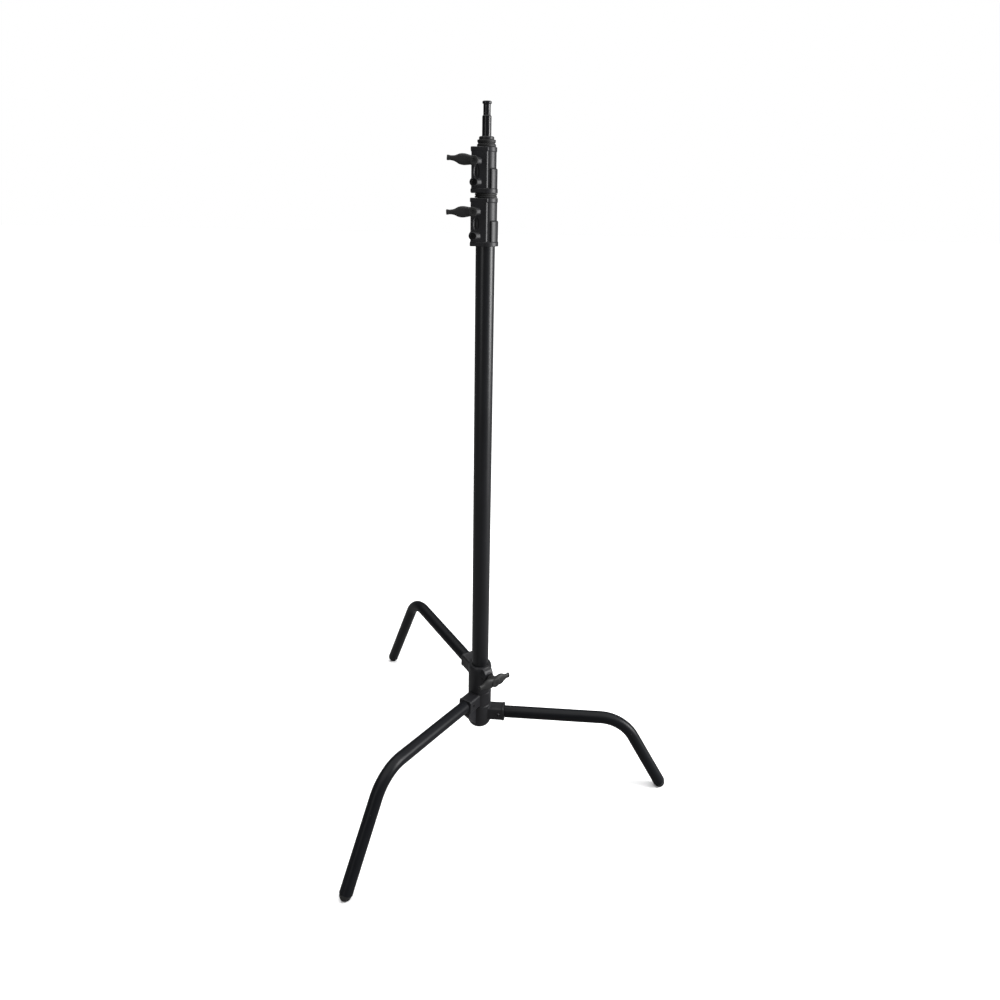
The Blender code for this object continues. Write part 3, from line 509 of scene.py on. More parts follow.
def hull(points, matrix):
    """Convex solid round some points."""
    bm = bmesh.new()
    for p in points:
        bm.verts.new(p)
    made = bmesh.ops.convex_hull(bm, input=bm.verts)
    inside = [v for v in made["geom_interior"] if isinstance(v, bmesh.types.BMVert)]
    bmesh.ops.delete(bm, geom=inside, context='VERTS')
    return placed(bm, matrix)


def squared(half, corner, steps=6):
    """Square section with round corners."""
    out = []
    for quarter in range(4):
        centre = Vector((half - corner, half - corner))
        for i in range(steps + 1):
            a = math.pi / 2 * (i / steps + quarter)
            turned = Matrix.Rotation(math.pi / 2 * quarter, 2) @ centre
            out.append((turned.x + corner * math.cos(a), turned.y + corner * math.sin(a)))
    return out


def web(points, half, a):
    """Upright rib in direction a: a polygon of (radius, height) points, half as thick each way."""
    bm = bmesh.new()
    near = [bm.verts.new((r, -half, z)) for r, z in points]
    far = [bm.verts.new((r, half, z)) for r, z in points]
    bridge(bm, near, far)
    bm.faces.new(list(reversed(near)))
    bm.faces.new(far)
    return placed(bm, aim((0, 0, 0), UP, heading(a)))


def to_mesh(name, bm):
    mesh = bpy.data.meshes.new(name)
    bm.to_mesh(mesh)
    bm.free()
    return mesh


def to_object(name, bm):
    obj = bpy.data.objects.new(name, to_mesh(name, bm))
    bpy.context.scene.collection.objects.link(obj)
    return obj


def pooled(solids):
    """Several solids in one mesh."""
    out = bmesh.new()
    for bm in solids:
        mesh = to_mesh("pool", bm)
        out.from_mesh(mesh)
        bpy.data.meshes.remove(mesh)
    return out


def baked_down(obj, helpers):
    """Keeps the result of obj's modifiers as its mesh and drops the helpers."""
    bpy.context.view_layer.update()
    graph = bpy.context.evaluated_depsgraph_get()
    mesh = bpy.data.meshes.new_from_object(obj.evaluated_get(graph))
    old = obj.data
    obj.modifiers.clear()
    obj.data = mesh
    bpy.data.meshes.remove(old)
    for helper in helpers:
        bpy.data.objects.remove(helper, do_unlink=True)
    if len(mesh.polygons) == 0:
        raise RuntimeError(obj.name + " came out empty")


def cut_by(obj, cutters):
    helpers = []
    for bm in cutters:
        helper = to_object("cutter", bm)
        helper.hide_render = True
        helper.display_type = 'WIRE'
        mod = obj.modifiers.new("cut", 'BOOLEAN')
        mod.operation = 'DIFFERENCE'
        mod.solver = 'EXACT'
        mod.object = helper
        helpers.append(helper)
    return helpers


def cast(name, solids, cutters=(), voxel=0.0006, soften=6, keep=0.45):
    """One casting: solids run together with soft corners, then machined."""
    obj = to_object(name, pooled(solids))
    mod = obj.modifiers.new("skin", 'REMESH')
    mod.mode = 'VOXEL'
    mod.voxel_size = voxel
    mod = obj.modifiers.new("soften", 'SMOOTH')
    mod.factor = 0.5
    mod.iterations = soften
    mod = obj.modifiers.new("lighten", 'DECIMATE')
    mod.ratio = keep
    baked_down(obj, [])
    baked_down(obj, cut_by(obj, cutters))
    return smooth(obj, 38.0)


def smooth(obj, degrees):
    """Soft shading except over edges sharper than this."""
    mesh = obj.data
    mesh.polygons.foreach_set("use_smooth", [True] * len(mesh.polygons))
    mesh.set_sharp_from_angle(angle=math.radians(degrees))
    return obj


def finished(obj, node, body):
    """Gives a new piece its finish and its place on the frame."""
    obj.data.materials.clear()
    obj.data.materials.append(finish_for(node, bpy.context.scene.stand_finish))
    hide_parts(node)
    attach(obj, body)
    return obj


def round_piece(node, body, profile, matrix=None, soft=0.0004, sides=96):
    """A turned piece with broken edges in place of a CAD node."""
    points = fillet(profile, soft) if soft else profile
    obj = to_object("look_" + node, turn(points, sides, matrix))
    return finished(smooth(obj, 40.0), node, body)


def sleeve(node, body, r_in, r_out, z0, z1, soft=0.0004):
    """An open tube with its edges broken."""
    c = min(soft, (r_out - r_in) * 0.4)
    profile = [(r_in, (z0 + z1) / 2), (r_in, z0 + c), (r_in + c, z0), (r_out - c, z0),
               (r_out, z0 + c), (r_out, z1 - c), (r_out - c, z1), (r_in + c, z1), (r_in, z1 - c)]
    return round_piece(node, body, profile, None, 0.0)


def threaded(r, z0, z1, pitch, depth, sides=40):
    """Rings of points along a rolled thread that tapers at its tip."""
    loops = []
    steps = int((z1 - z0) / pitch * 8)
    for k in range(steps + 1):
        z = z0 + (z1 - z0) * k / steps
        loop = []
        for i in range(sides):
            phase = (z / pitch - i / sides) % 1.0
            fade = min(1.0, (z - z0) / pitch)
            rr = r - depth * abs(2 * phase - 1) - (1 - fade) * depth
            a = 2 * math.pi * i / sides
            loop.append((rr * math.cos(a), rr * math.sin(a), z))
        loops.append(loop)
    return loops


def hexagon(across, z):
    r = across / math.sqrt(3)
    return [(r * math.cos(math.pi / 3 * i), r * math.sin(math.pi / 3 * i), z) for i in range(6)]


def socket_screw(node, body, profile, matrix, across, key_floor, sides=64):
    """A turned screw whose hexagon socket goes down to key_floor."""
    obj = to_object("look_" + node, turn(profile, sides, matrix))
    key = loft([hexagon(across, key_floor), hexagon(across, key_floor + 0.005)], matrix)
    baked_down(obj, cut_by(obj, [key]))
    finished(smooth(obj, 35.0), node, body)


def cross_drilled(node, profile):
    """A turned piece of the top riser, with the cross pin's hole through it."""
    h = bpy.context.scene.stand_head
    obj = to_object("look_" + node, turn(profile, 96))
    m = aim((0, 0, h.cross_height), (0, 1, 0), (1, 0, 0))
    baked_down(obj, cut_by(obj, [bar(h.cross_bore, -0.03, 0.03, 32, m)]))
    finished(smooth(obj, 40.0), node, "second_riser")


# ---------------------------------------------------------------- legs and hubs

def leg_facts(prefix):
    s = bpy.context.scene.stand_legs
    return getattr(s, prefix + "_heading"), getattr(s, prefix + "_height"), s


def leg_directions(prefix):
    a, _, s = leg_facts(prefix)
    out = heading(a)
    return (out * math.cos(s.rise) + UP * math.sin(s.rise),
            out * math.cos(s.fall) - UP * math.sin(s.fall))


def leg_point(prefix, radius):
    a, height, s = leg_facts(prefix)
    return heading(a) * radius + UP * (height + (radius - s.height_radius) * math.tan(s.rise))


def foot_centre(prefix):
    s = leg_facts(prefix)[2]
    corner = leg_point(prefix, s.corner_radius)
    second = leg_directions(prefix)[1]
    return corner + second * ((corner.z - s.foot_centre) / -second.z)


def leg_path(prefix, steps=28):
    """Centreline points of a leg with their directions."""
    s = leg_facts(prefix)[2]
    first, second = leg_directions(prefix)
    corner = leg_point(prefix, s.corner_radius)
    bend = s.rise + s.fall
    start = corner - first * (s.bend_radius * math.tan(bend / 2))
    normal = (second - first * math.cos(bend)).normalized()
    path = [(leg_point(prefix, s.start_radius), first)]
    for i in range(steps + 1):
        a = bend * i / steps
        path.append((start + first * (s.bend_radius * math.sin(a))
                     + normal * (s.bend_radius * (1 - math.cos(a))),
                     first * math.cos(a) + normal * math.sin(a)))
    path.append((foot_centre(prefix), second))
    return path


def leg_tube(prefix):
    """Hollow bent tube, very slightly flattened through its bend as drawn tube is."""
    tubes = bpy.context.scene.stand_tubes
    side = UP.cross(heading(leg_facts(prefix)[0]))
    path = leg_path(prefix)
    bm = bmesh.new()
    outer, inner = [], []
    for k, (p, d) in enumerate(path):
        up = side.cross(d).normalized()
        mid = 1 - abs(2 * k / (len(path) - 1) - 1)
        flat = 1.0 - 0.012 * min(1.0, 1.6 * mid)
        for r, store in ((tubes.leg_radius, outer), (tubes.leg_radius - tubes.wall, inner)):
            ring = []
            for i in range(64):
                a = 2 * math.pi * i / 64
                ring.append(bm.verts.new(p + side * (r * math.cos(a)) + up * (r * flat * math.sin(a))))
            store.append(ring)
    loops = outer + list(reversed(inner))
    for a, b in zip(loops, loops[1:] + loops[:1]):
        bridge(bm, a, b)
    return placed(bm, None)


def socket_frame(prefix):
    return aim(leg_point(prefix, 0.0), leg_directions(prefix)[0], UP)


def bolt_frame(prefix):
    s = leg_facts(prefix)[2]
    side = UP.cross(heading(leg_facts(prefix)[0]))
    return aim(leg_point(prefix, s.bolt_radius), -side, UP)


def socket_solids(prefix):
    """Square socket that swells a little towards its hub, and its lip."""
    s = leg_facts(prefix)[2]
    end = s.socket_end
    out = []
    for half, z0, z1, corner in ((s.socket_half, 0.012, end - 0.001, 0.0040),
                                 (s.lip_half, end - 0.0042, end, 0.0044)):
        loops = []
        for z, grow in ((z0, 0.0), (z0 + 0.0004, 0.0), (z1 - 0.0006, 0.0), (z1, -0.0004)):
            loops.append([(x, y, z) for x, y in squared(half + grow, corner)])
        out.append(loft(loops, socket_frame(prefix)))
    return out


def socket_cutters(prefix):
    s = leg_facts(prefix)[2]
    tubes = bpy.context.scene.stand_tubes
    return [bar(tubes.leg_radius + CLEARANCE, s.start_radius - 0.0004, s.socket_end + PAST, 64,
                socket_frame(prefix)),
            bar(LEG_BOLT_R + CLEARANCE, -0.03, 0.03, 32, bolt_frame(prefix))]


def set_screw_frame():
    return aim((0, 0, SET_SCREW_HEIGHT), (0, 1, 0), UP)


def base_hub():
    h = bpy.context.scene.stand_hubs
    tubes = bpy.context.scene.stand_tubes
    z0, z1, r = h.base_low, h.base_high, h.base_radius
    profile = [(0.0, z0), (0.012, z0), (0.0180, z0 + 0.002), (0.0222, z0 + 0.0065),
               (r, z0 + 0.0125), (r, z1), (0.0, z1)]
    body = turn(fillet(profile, 0.003), 96)
    lug = web([(0.010, 0.1060), (0.0165, 0.1075), (0.025, 0.1185), (0.036, 0.1325),
               (0.0485, 0.1480), (0.0495, 0.1540), (0.0480, 0.1572), (0.010, 0.1572)],
              0.0070, leg_facts("front")[0])
    cutters = [bar(tubes.column_radius + CLEARANCE, COLUMN_SEAT, z1 + PAST, 96)]
    cutters += socket_cutters("right")
    cutters.append(bar(SET_SCREW_R + CLEARANCE, 0.010, 0.040, 32, set_screw_frame()))
    obj = cast("look_base_hub", [body, lug] + socket_solids("right"), cutters)
    finished(obj, "base_hub", "column")


def middle_hub():
    h = bpy.context.scene.stand_hubs
    tubes = bpy.context.scene.stand_tubes
    z0, z1, r = h.middle_low, h.middle_high, h.ring_radius
    body = bar(r, z0, z1, 96)
    cutters = [bar(tubes.column_radius + CLEARANCE, z0 - PAST, z1 + PAST, 96)]
    cutters += socket_cutters("front")
    obj = cast("look_middle_hub", [body] + socket_solids("front"), cutters)
    finished(obj, "middle_hub", "middle_leg")


def slide_frame(distance):
    h = bpy.context.scene.stand_hubs
    out = heading(h.lever_heading)
    return aim(out * distance + UP * h.lever_height, out, heading(h.lever_heading + math.pi / 2))


def slide_hub():
    h = bpy.context.scene.stand_hubs
    z0, z1, r = h.slide_low, h.slide_high, h.ring_radius
    profile = [(0.0, z0), (r, z0), (r, z1 - 0.007), (r - 0.0008, z1 - 0.003),
               (r - 0.002, z1), (0.0, z1)]
    body = turn(profile, 96)
    rib = web([(0.010, 0.1950), (0.0245, 0.1955), (0.0330, 0.2020), (0.0430, 0.2140),
               (0.0480, 0.2230), (0.010, 0.2230)], 0.0060, leg_facts("back")[0])
    m = slide_frame(0.0)
    boss = turn([(0.0, 0.012), (0.0125, 0.012), (0.0122, 0.026), (0.0114, h.boss_end - 0.001),
                 (0.0106, h.boss_end), (0.0, h.boss_end)], 64, m)
    shoulder = web([(0.010, 0.2270), (0.0312, 0.2290), (0.0312, 0.2425), (0.0282, 0.2480),
                    (0.0225, 0.2512), (0.010, 0.2512)], 0.0104, h.lever_heading)
    cutters = [bar(h.slide_bore, z0 - PAST, z1 + PAST, 96)] + socket_cutters("back")
    cutters.append(bar(LEVER_SCREW_R + CLEARANCE, 0.010, 0.045, 48, m))
    obj = cast("look_slide_hub", [body, rib, shoulder, boss] + socket_solids("back"), cutters)
    finished(obj, "slide_hub", "sliding_leg")


def leg_foot(prefix, body):
    """Rubber end cap, plugged into the leg and worn flat on the floor."""
    r = bpy.context.scene.stand_tubes.leg_radius
    second = leg_directions(prefix)[1]
    m = aim(foot_centre(prefix), second, heading(leg_facts(prefix)[0]))
    dome, plug = r - 0.0011, 0.0107
    profile = [(0.0, -0.022), (plug - 0.001, -0.022), (plug, -0.021), (plug, CLEARANCE),
               (dome - 0.0002, CLEARANCE), (dome, 0.0006)]
    for i in range(1, 14):
        a = math.pi / 2 * i / 14
        profile.append((dome * math.cos(a), 0.0008 + (r - 0.0005) * math.sin(a)))
    profile.append((0.0, CLEARANCE + r))
    node = prefix + "_leg_foot"
    obj = to_object("look_" + node, turn(profile, 64, m))
    c = foot_centre(prefix)
    floor_cut = block((c.x - 0.05, c.y - 0.05, -0.05), (c.x + 0.05, c.y + 0.05, 0.0), 0.001)
    baked_down(obj, cut_by(obj, [floor_cut]))
    finished(smooth(obj, 40.0), node, body)


def leg_bolt(prefix, body):
    """Button-head bolt with a hexagon socket."""
    r, shank = leg_facts(prefix)[2].socket_half, LEG_BOLT_R
    profile = [(0.0, -r + 0.0005), (shank - 0.0004, -r + 0.0005), (shank, -r + 0.0009),
               (shank, r + 0.0003), (0.0045, r + 0.0003), (0.0045, r + 0.0011),
               (0.0040, r + 0.0020), (0.0030, r + 0.0025), (0.0, r + 0.0026)]
    socket_screw(prefix + "_leg_bolt", body, fillet(profile, 0.0002, 2), bolt_frame(prefix),
                 0.0030, r + 0.0010, 48)


# ---------------------------------------------------------------- collars and levers

def collar_settings(prefix):
    return getattr(bpy.context.scene, "stand_" + prefix + "_collar")


def boss_end(c):
    return c.face + c.boss


def screw_frame(c, z, distance=0.0):
    return aim((-c.offset, -distance, z), (0, -1, 0), (-1, 0, 0))


def pad_solid(c):
    """Thicker wall on the side away from the ears, on the lower half."""
    z0 = c.low + 0.006
    half = math.radians(63.0)
    loops = []
    for z, r in ((z0, c.pad), (c.pad_high - 0.0016, c.pad), (c.pad_high - 0.0006, c.pad - 0.0010),
                 (c.pad_high, c.body - 0.0004)):
        loop = [(0.004, 0.0, z)]
        for i in range(41):
            a = -half + 2 * half * i / 40
            loop.append((r * math.cos(a), r * math.sin(a), z))
        loops.append(loop)
    return loft(loops)


def boss_solid(c, z):
    """Round screw boss through the block, buttressed on its inner side on both faces."""
    out, root = boss_end(c), c.face - 0.001
    points = []
    for side in (-1, 1):
        for r, depth in ((0.0060, out), (0.0067, out - 0.0007), (0.0077, root)):
            points += [(r * math.cos(a), r * math.sin(a), side * depth)
                       for a in (2 * math.pi * i / 48 for i in range(48))]
        for x, y in ((-0.0128, 0.0048), (-0.0150, 0.0030)):
            points += [(x, y, side * root), (x, -y, side * root)]
    return hull(points, screw_frame(c, z))


def lens(c):
    """Shallow hollow in the block's front face beside its bosses."""
    mid, half, r, depth = (c.screw + c.pinch) / 2, 0.0140, 0.0062, 0.0030
    profile = [(0.0, -half)]
    for i in range(1, 16):
        t = -1 + 2 * i / 16
        profile.append((r * math.sqrt(1 - t * t), half * t))
    profile.append((0.0, half))
    return turn(profile, 48, aim((-0.0168, depth - c.face - r, mid), UP, (1, 0, 0)))


def collar_solids(c):
    z0, z1, b = c.low, c.high, 0.0080
    profile = [(0.0, z0), (c.bottom_band, z0), (c.bottom_band, z0 + b - 0.001),
               (c.body, z0 + b + 0.0005), (c.body, z1 - b), (c.top_band, z1 - b + 0.0009),
               (c.top_band, z1), (0.0, z1)]
    shell = turn(profile, 128)
    wide, right = c.face + 0.0007, 0.0030
    main = block((-c.ear, -c.face, z0 + b - 0.004), (right, c.face, z1 - b + 0.004), 0.0034, segments=6)
    low = block((-c.ear - 0.0012, -wide, z0 + 0.0001), (right + 0.0006, wide, z0 + b - 0.0004), 0.0016)
    high = block((-c.ear - 0.0012, -wide, z1 - b + 0.0004), (right + 0.0005, wide, z1 - 0.0001), 0.0016)
    return [shell, main, low, high, pad_solid(c), boss_solid(c, c.screw), boss_solid(c, c.pinch)]


def collar_cutters(c):
    out = boss_end(c)
    lever, pinch = screw_frame(c, c.screw), screw_frame(c, c.pinch)
    far = out + PAST
    slit = block((-0.05, -0.0013, c.low - PAST), (-0.005, 0.0013, c.high + PAST), 0.0002, None, 1)
    return [lens(c), bar(c.bore, c.low - PAST, c.high + PAST, 96), slit,
            bar(LEVER_SCREW_R + CLEARANCE, -far, far, 48, lever),
            bar(LEVER_NUT_R + CLEARANCE, -far, 0.0090 - out, 48, lever),
            bar(PINCH_R + CLEARANCE, -far, far, 40, pinch),
            bar(PINCH_HEAD_R + CLEARANCE, out - 0.0062, far, 48, pinch),
            bar(PINCH_NUT_R + CLEARANCE, -far, 0.0062 - out, 48, pinch)]


def clamp_collar(prefix, body):
    c = collar_settings(prefix)
    obj = cast("look_" + prefix + "_collar", collar_solids(c), collar_cutters(c), 0.0005, 5, 0.40)
    finished(obj, prefix + "_collar", body)


WING = ((0.000, 0.0074, 0.0058), (0.006, 0.0079, 0.0058), (0.011, 0.0089, 0.0055),
        (0.016, 0.0096, 0.0052), (0.021, 0.0094, 0.0048), (0.0255, 0.0083, 0.0043),
        (0.029, 0.0065, 0.0039), (0.032, 0.0051, 0.0036), (0.035, 0.0044, 0.0034),
        (0.039, 0.0040, 0.0032), (0.0415, 0.0040, 0.0032), (0.0424, 0.0045, 0.0036),
        (0.0452, 0.0045, 0.0036), (0.0460, 0.0040, 0.0030))


def wing_solid(matrix, reach, bulk):
    """A lever's wing: a swelling blade with a lipped tip, the other way for a negative reach."""
    loops = []
    for x, high, thick in WING:
        loop = []
        for i in range(40):
            a = 2 * math.pi * i / 40
            c, s = math.cos(a), math.sin(a)
            loop.append((x * reach, bulk * high * math.copysign(abs(c) ** 0.72, c),
                         thick * math.copysign(abs(s) ** 0.72, s)))
        loops.append(loop)
    return loft(loops, matrix)


def hand_lever(prefix, body, matrix, back, bore_end, wings=(1.0,), bulk=1.0):
    """Moulded lever: hub, wings and the dished cap over its screw."""
    front = 0.0072
    hub = [(0.0, back), (0.0070, back), (0.0072, back + 0.003), (0.0078, -0.0045),
           (0.0081, front - 0.0015), (0.0072, front), (0.0, front)]
    hub = [(r * bulk, z) for r, z in hub]
    solids = [turn(hub, 64, matrix)] + [wing_solid(matrix, reach, bulk) for reach in wings]
    dish = turn([(0.0, front - 0.0012), (0.0030, front - 0.0010), (0.0036, front + 0.001),
                 (0.0036, front + 0.004), (0.0, front + 0.004)], 48, matrix)
    cutters = [bar(LEVER_SCREW_R + CLEARANCE, back - 0.01, bore_end, 48, matrix), dish]
    node = prefix + "_lever"
    obj = cast("look_" + node, solids, cutters, 0.00042, 5, 0.5)
    finished(obj, node, body)


def lever_screw(prefix, body, matrix, tip, flange, end):
    """Clamp screw: rolled thread, plain neck and a flange behind the lever."""
    loops = threaded(LEVER_SCREW_R, tip, flange - 0.0030, 0.00125, 0.00045)
    sides = len(loops[0])

    def disc(r, z):
        return [(r * math.cos(2 * math.pi * i / sides), r * math.sin(2 * math.pi * i / sides), z)
                for i in range(sides)]

    loops.insert(0, disc(0.0028, tip - 0.0004))
    loops += [disc(r, z) for r, z in (
        (0.0038, flange - 0.0026), (0.0038, flange - 0.0002), (LEVER_SCREW_R, flange),
        (0.0062, flange), (0.0066, flange + 0.0004), (0.0066, flange + 0.0012),
        (0.0062, flange + 0.0016), (LEVER_SCREW_R, flange + 0.0016), (LEVER_SCREW_R, end))]
    node = prefix + "_lever_screw"
    obj = to_object("look_" + node, loft(loops, matrix))
    finished(smooth(obj, 40.0), node, body)


def collar_lever(prefix):
    c = collar_settings(prefix)
    out = boss_end(c)
    plane = out + c.lever
    wing = (-math.cos(c.tilt), 0.0, math.sin(c.tilt))
    m = aim((-c.offset, -plane, c.screw), (0, -1, 0), wing)
    hand_lever(prefix, prefix + "_lever", m, out + 0.0024 - plane, -0.0007)
    lever_screw(prefix, prefix + "_lever", screw_frame(c, c.screw), 0.0024 - out, out + 0.0005,
                plane - 0.0010)


def slide_lever():
    h = bpy.context.scene.stand_hubs
    hand_lever("slide", "slide_lever", slide_frame(h.lever_plane),
               h.boss_end + 0.0025 - h.lever_plane, 0.0008, (h.lever_reach, -h.lever_reach),
               h.lever_bulk)
    lever_screw("slide", "slide_lever", slide_frame(0.0), 0.0230, h.boss_end + 0.0006,
                h.lever_plane + 0.0005)


def pinch_bolt(prefix, body):
    """Socket-head bolt that, with its nut, clamps the collar on its own tube."""
    c = collar_settings(prefix)
    out, m = boss_end(c), screw_frame(c, c.pinch)
    profile = [(0.0, 0.0030 - out), (PINCH_R - 0.0004, 0.0030 - out), (PINCH_R, 0.0034 - out),
               (PINCH_R, out - 0.0059), (PINCH_HEAD_R, out - 0.0059),
               (PINCH_HEAD_R, out - 0.0009), (PINCH_HEAD_R - 0.0004, out - 0.0005),
               (0.0, out - 0.0005)]
    socket_screw(prefix + "_pinch_bolt", body, fillet(profile, 0.0003, 3), m, 0.0050,
                 out - 0.0034)


def round_nut(node, body, matrix, bore, r, z0, z1):
    """Round nut with two spanner slots in its outer face."""
    c = 0.0005
    profile = [(bore, z0 + c), (bore + c, z0), (r - c, z0), (r, z0 + c), (r, z1 - c), (r - c, z1),
               (bore + c, z1), (bore, z1 - c)]
    obj = to_object("look_" + node, turn(profile, 64, matrix))
    slot = block((-r - 0.002, -0.0006, z0 - 0.002), (r + 0.002, 0.0006, z0 + 0.0009), 0.0001,
                 matrix, 1)
    baked_down(obj, cut_by(obj, [slot]))
    finished(smooth(obj, 35.0), node, body)


# ---------------------------------------------------------------- operators

class STAND_OT_tubes(bpy.types.Operator):
    """Column and riser tubes"""
    bl_idname = "stand.tubes"
    bl_label = "Column and risers"

    def execute(self, context):
        t = context.scene.stand_tubes
        for node, body, r in (("column_tube", "column", t.column_radius),
                              ("first_riser_tube", "first_riser", t.first_radius)):
            low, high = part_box(node)
            sleeve(node, body, r - t.wall, r, low[2], high[2])
        low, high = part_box("second_riser_tube")
        r = t.second_radius
        cross_drilled("second_riser_tube", [(r - t.wall, low[2]), (r, low[2]), (r, high[2]),
                                            (r - t.wall, high[2])])
        return {'FINISHED'}


class STAND_OT_hubs(bpy.types.Operator):
    """The three cast hubs at the foot of the column"""
    bl_idname = "stand.hubs"
    bl_label = "Hubs"

    def execute(self, context):
        base_hub()
        middle_hub()
        slide_hub()
        return {'FINISHED'}


class STAND_OT_legs(bpy.types.Operator):
    """Bent leg tubes with their feet and bolts"""
    bl_idname = "stand.legs"
    bl_label = "Legs"

    def execute(self, context):
        for prefix, body in (("right", "column"), ("front", "middle_leg"), ("back", "sliding_leg")):
            obj = to_object("look_" + prefix + "_leg_tube", leg_tube(prefix))
            finished(smooth(obj, 40.0), prefix + "_leg_tube", body)
            leg_foot(prefix, body)
            leg_bolt(prefix, body)
        return {'FINISHED'}


class STAND_OT_collars(bpy.types.Operator):
    """The two cast clamp collars"""
    bl_idname = "stand.collars"
    bl_label = "Collars"

    def execute(self, context):
        clamp_collar("lower", "column")
        clamp_collar("upper", "first_riser")
        return {'FINISHED'}


class STAND_OT_rings(bpy.types.Operator):
    """Rubber bumper rings on top of the collars"""
    bl_idname = "stand.rings"
    bl_label = "Bumper rings"

    def execute(self, context):
        self.ring("lower_bumper", "column", 0.0154, 0.0200, 0.0186, 0.0197)
        self.ring("upper_bumper", "first_riser", 0.0129, 0.0166, 0.0148, 0.0161)
        return {'FINISHED'}

    def ring(self, node, body, bore, low_r, groove_r, high_r):
        z0, z1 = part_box(node)[0][2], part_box(node)[1][2]
        h = z1 - z0
        profile = [(bore, z0 + 0.5 * h), (bore, z0), (low_r, z0), (low_r, z0 + 0.36 * h),
                   (groove_r, z0 + 0.42 * h), (groove_r, z0 + 0.58 * h),
                   (high_r, z0 + 0.64 * h), (high_r, z1), (bore, z1)]
        round_piece(node, body, profile, None, 0.0011)


class STAND_OT_levers(bpy.types.Operator):
    """Hand levers with their screws"""
    bl_idname = "stand.levers"
    bl_label = "Levers"

    def execute(self, context):
        collar_lever("lower")
        collar_lever("upper")
        slide_lever()
        return {'FINISHED'}


class STAND_OT_fasteners(bpy.types.Operator):
    """Pinch bolts, nuts and the hub's set screw"""
    bl_idname = "stand.fasteners"
    bl_label = "Fasteners"

    def execute(self, context):
        for prefix, body in (("lower", "column"), ("upper", "first_riser")):
            c = collar_settings(prefix)
            out = boss_end(c)
            pinch_bolt(prefix, body)
            round_nut(prefix + "_pinch_nut", body, screw_frame(c, c.pinch),
                      PINCH_R + CLEARANCE, PINCH_NUT_R, 0.0012 - out, 0.0059 - out)
            round_nut(prefix + "_clamp_nut", body, screw_frame(c, c.screw),
                      LEVER_SCREW_R + CLEARANCE, LEVER_NUT_R, 0.0012 - out, 0.0087 - out)
        r, inner, outer = SET_SCREW_R, 0.0179, 0.0244
        profile = [(0.0, inner), (r - 0.0004, inner), (r, inner + 0.0004), (r, outer - 0.0004),
                   (r - 0.0004, outer), (0.0, outer)]
        socket_screw("base_set_screw", "column", profile, set_screw_frame(), 0.0030, 0.0220, 48)
        return {'FINISHED'}


class STAND_OT_pin(bpy.types.Operator):
    """Riser head and grip pin"""
    bl_idname = "stand.pin"
    bl_label = "Head and pin"

    def execute(self, context):
        h = context.scene.stand_head
        r = h.pin
        pin = [(0.0, h.low), (r - 0.0005, h.low), (r, h.low + 0.0005), (r, h.neck_low - 0.0012),
               (h.neck, h.neck_low), (h.neck, h.neck_high), (r, h.neck_high + 0.0006),
               (r, h.top - 0.0010), (r - 0.0010, h.top), (0.0, h.top)]
        cross_drilled("grip_pin", fillet(pin, 0.0006))
        bore = r + CLEARANCE
        head = [(bore, (h.low + h.flange_low) / 2), (bore, h.low), (h.plug, h.low),
                (h.plug, h.flange_low), (h.flange, h.flange_low), (h.flange, h.flange_high - 0.0012),
                (h.flange - 0.0012, h.flange_high), (bore, h.flange_high)]
        cross_drilled("riser_head", fillet(head, 0.0005))
        return {'FINISHED'}


class STAND_OT_inner(bpy.types.Operator):
    """Finishes for the bushings, liner, glides, brake shoe and cross pin"""
    bl_idname = "stand.inner"
    bl_label = "Inner pieces"

    def execute(self, context):
        for node in ("lower_bushing", "upper_bushing", "slide_liner", "first_glide",
                     "second_glide", "brake_shoe", "cross_pin"):
            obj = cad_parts[node]
            made = finish_for(node, context.scene.stand_finish)
            for place in obj.material_slots:
                place.material = made
        return {'FINISHED'}


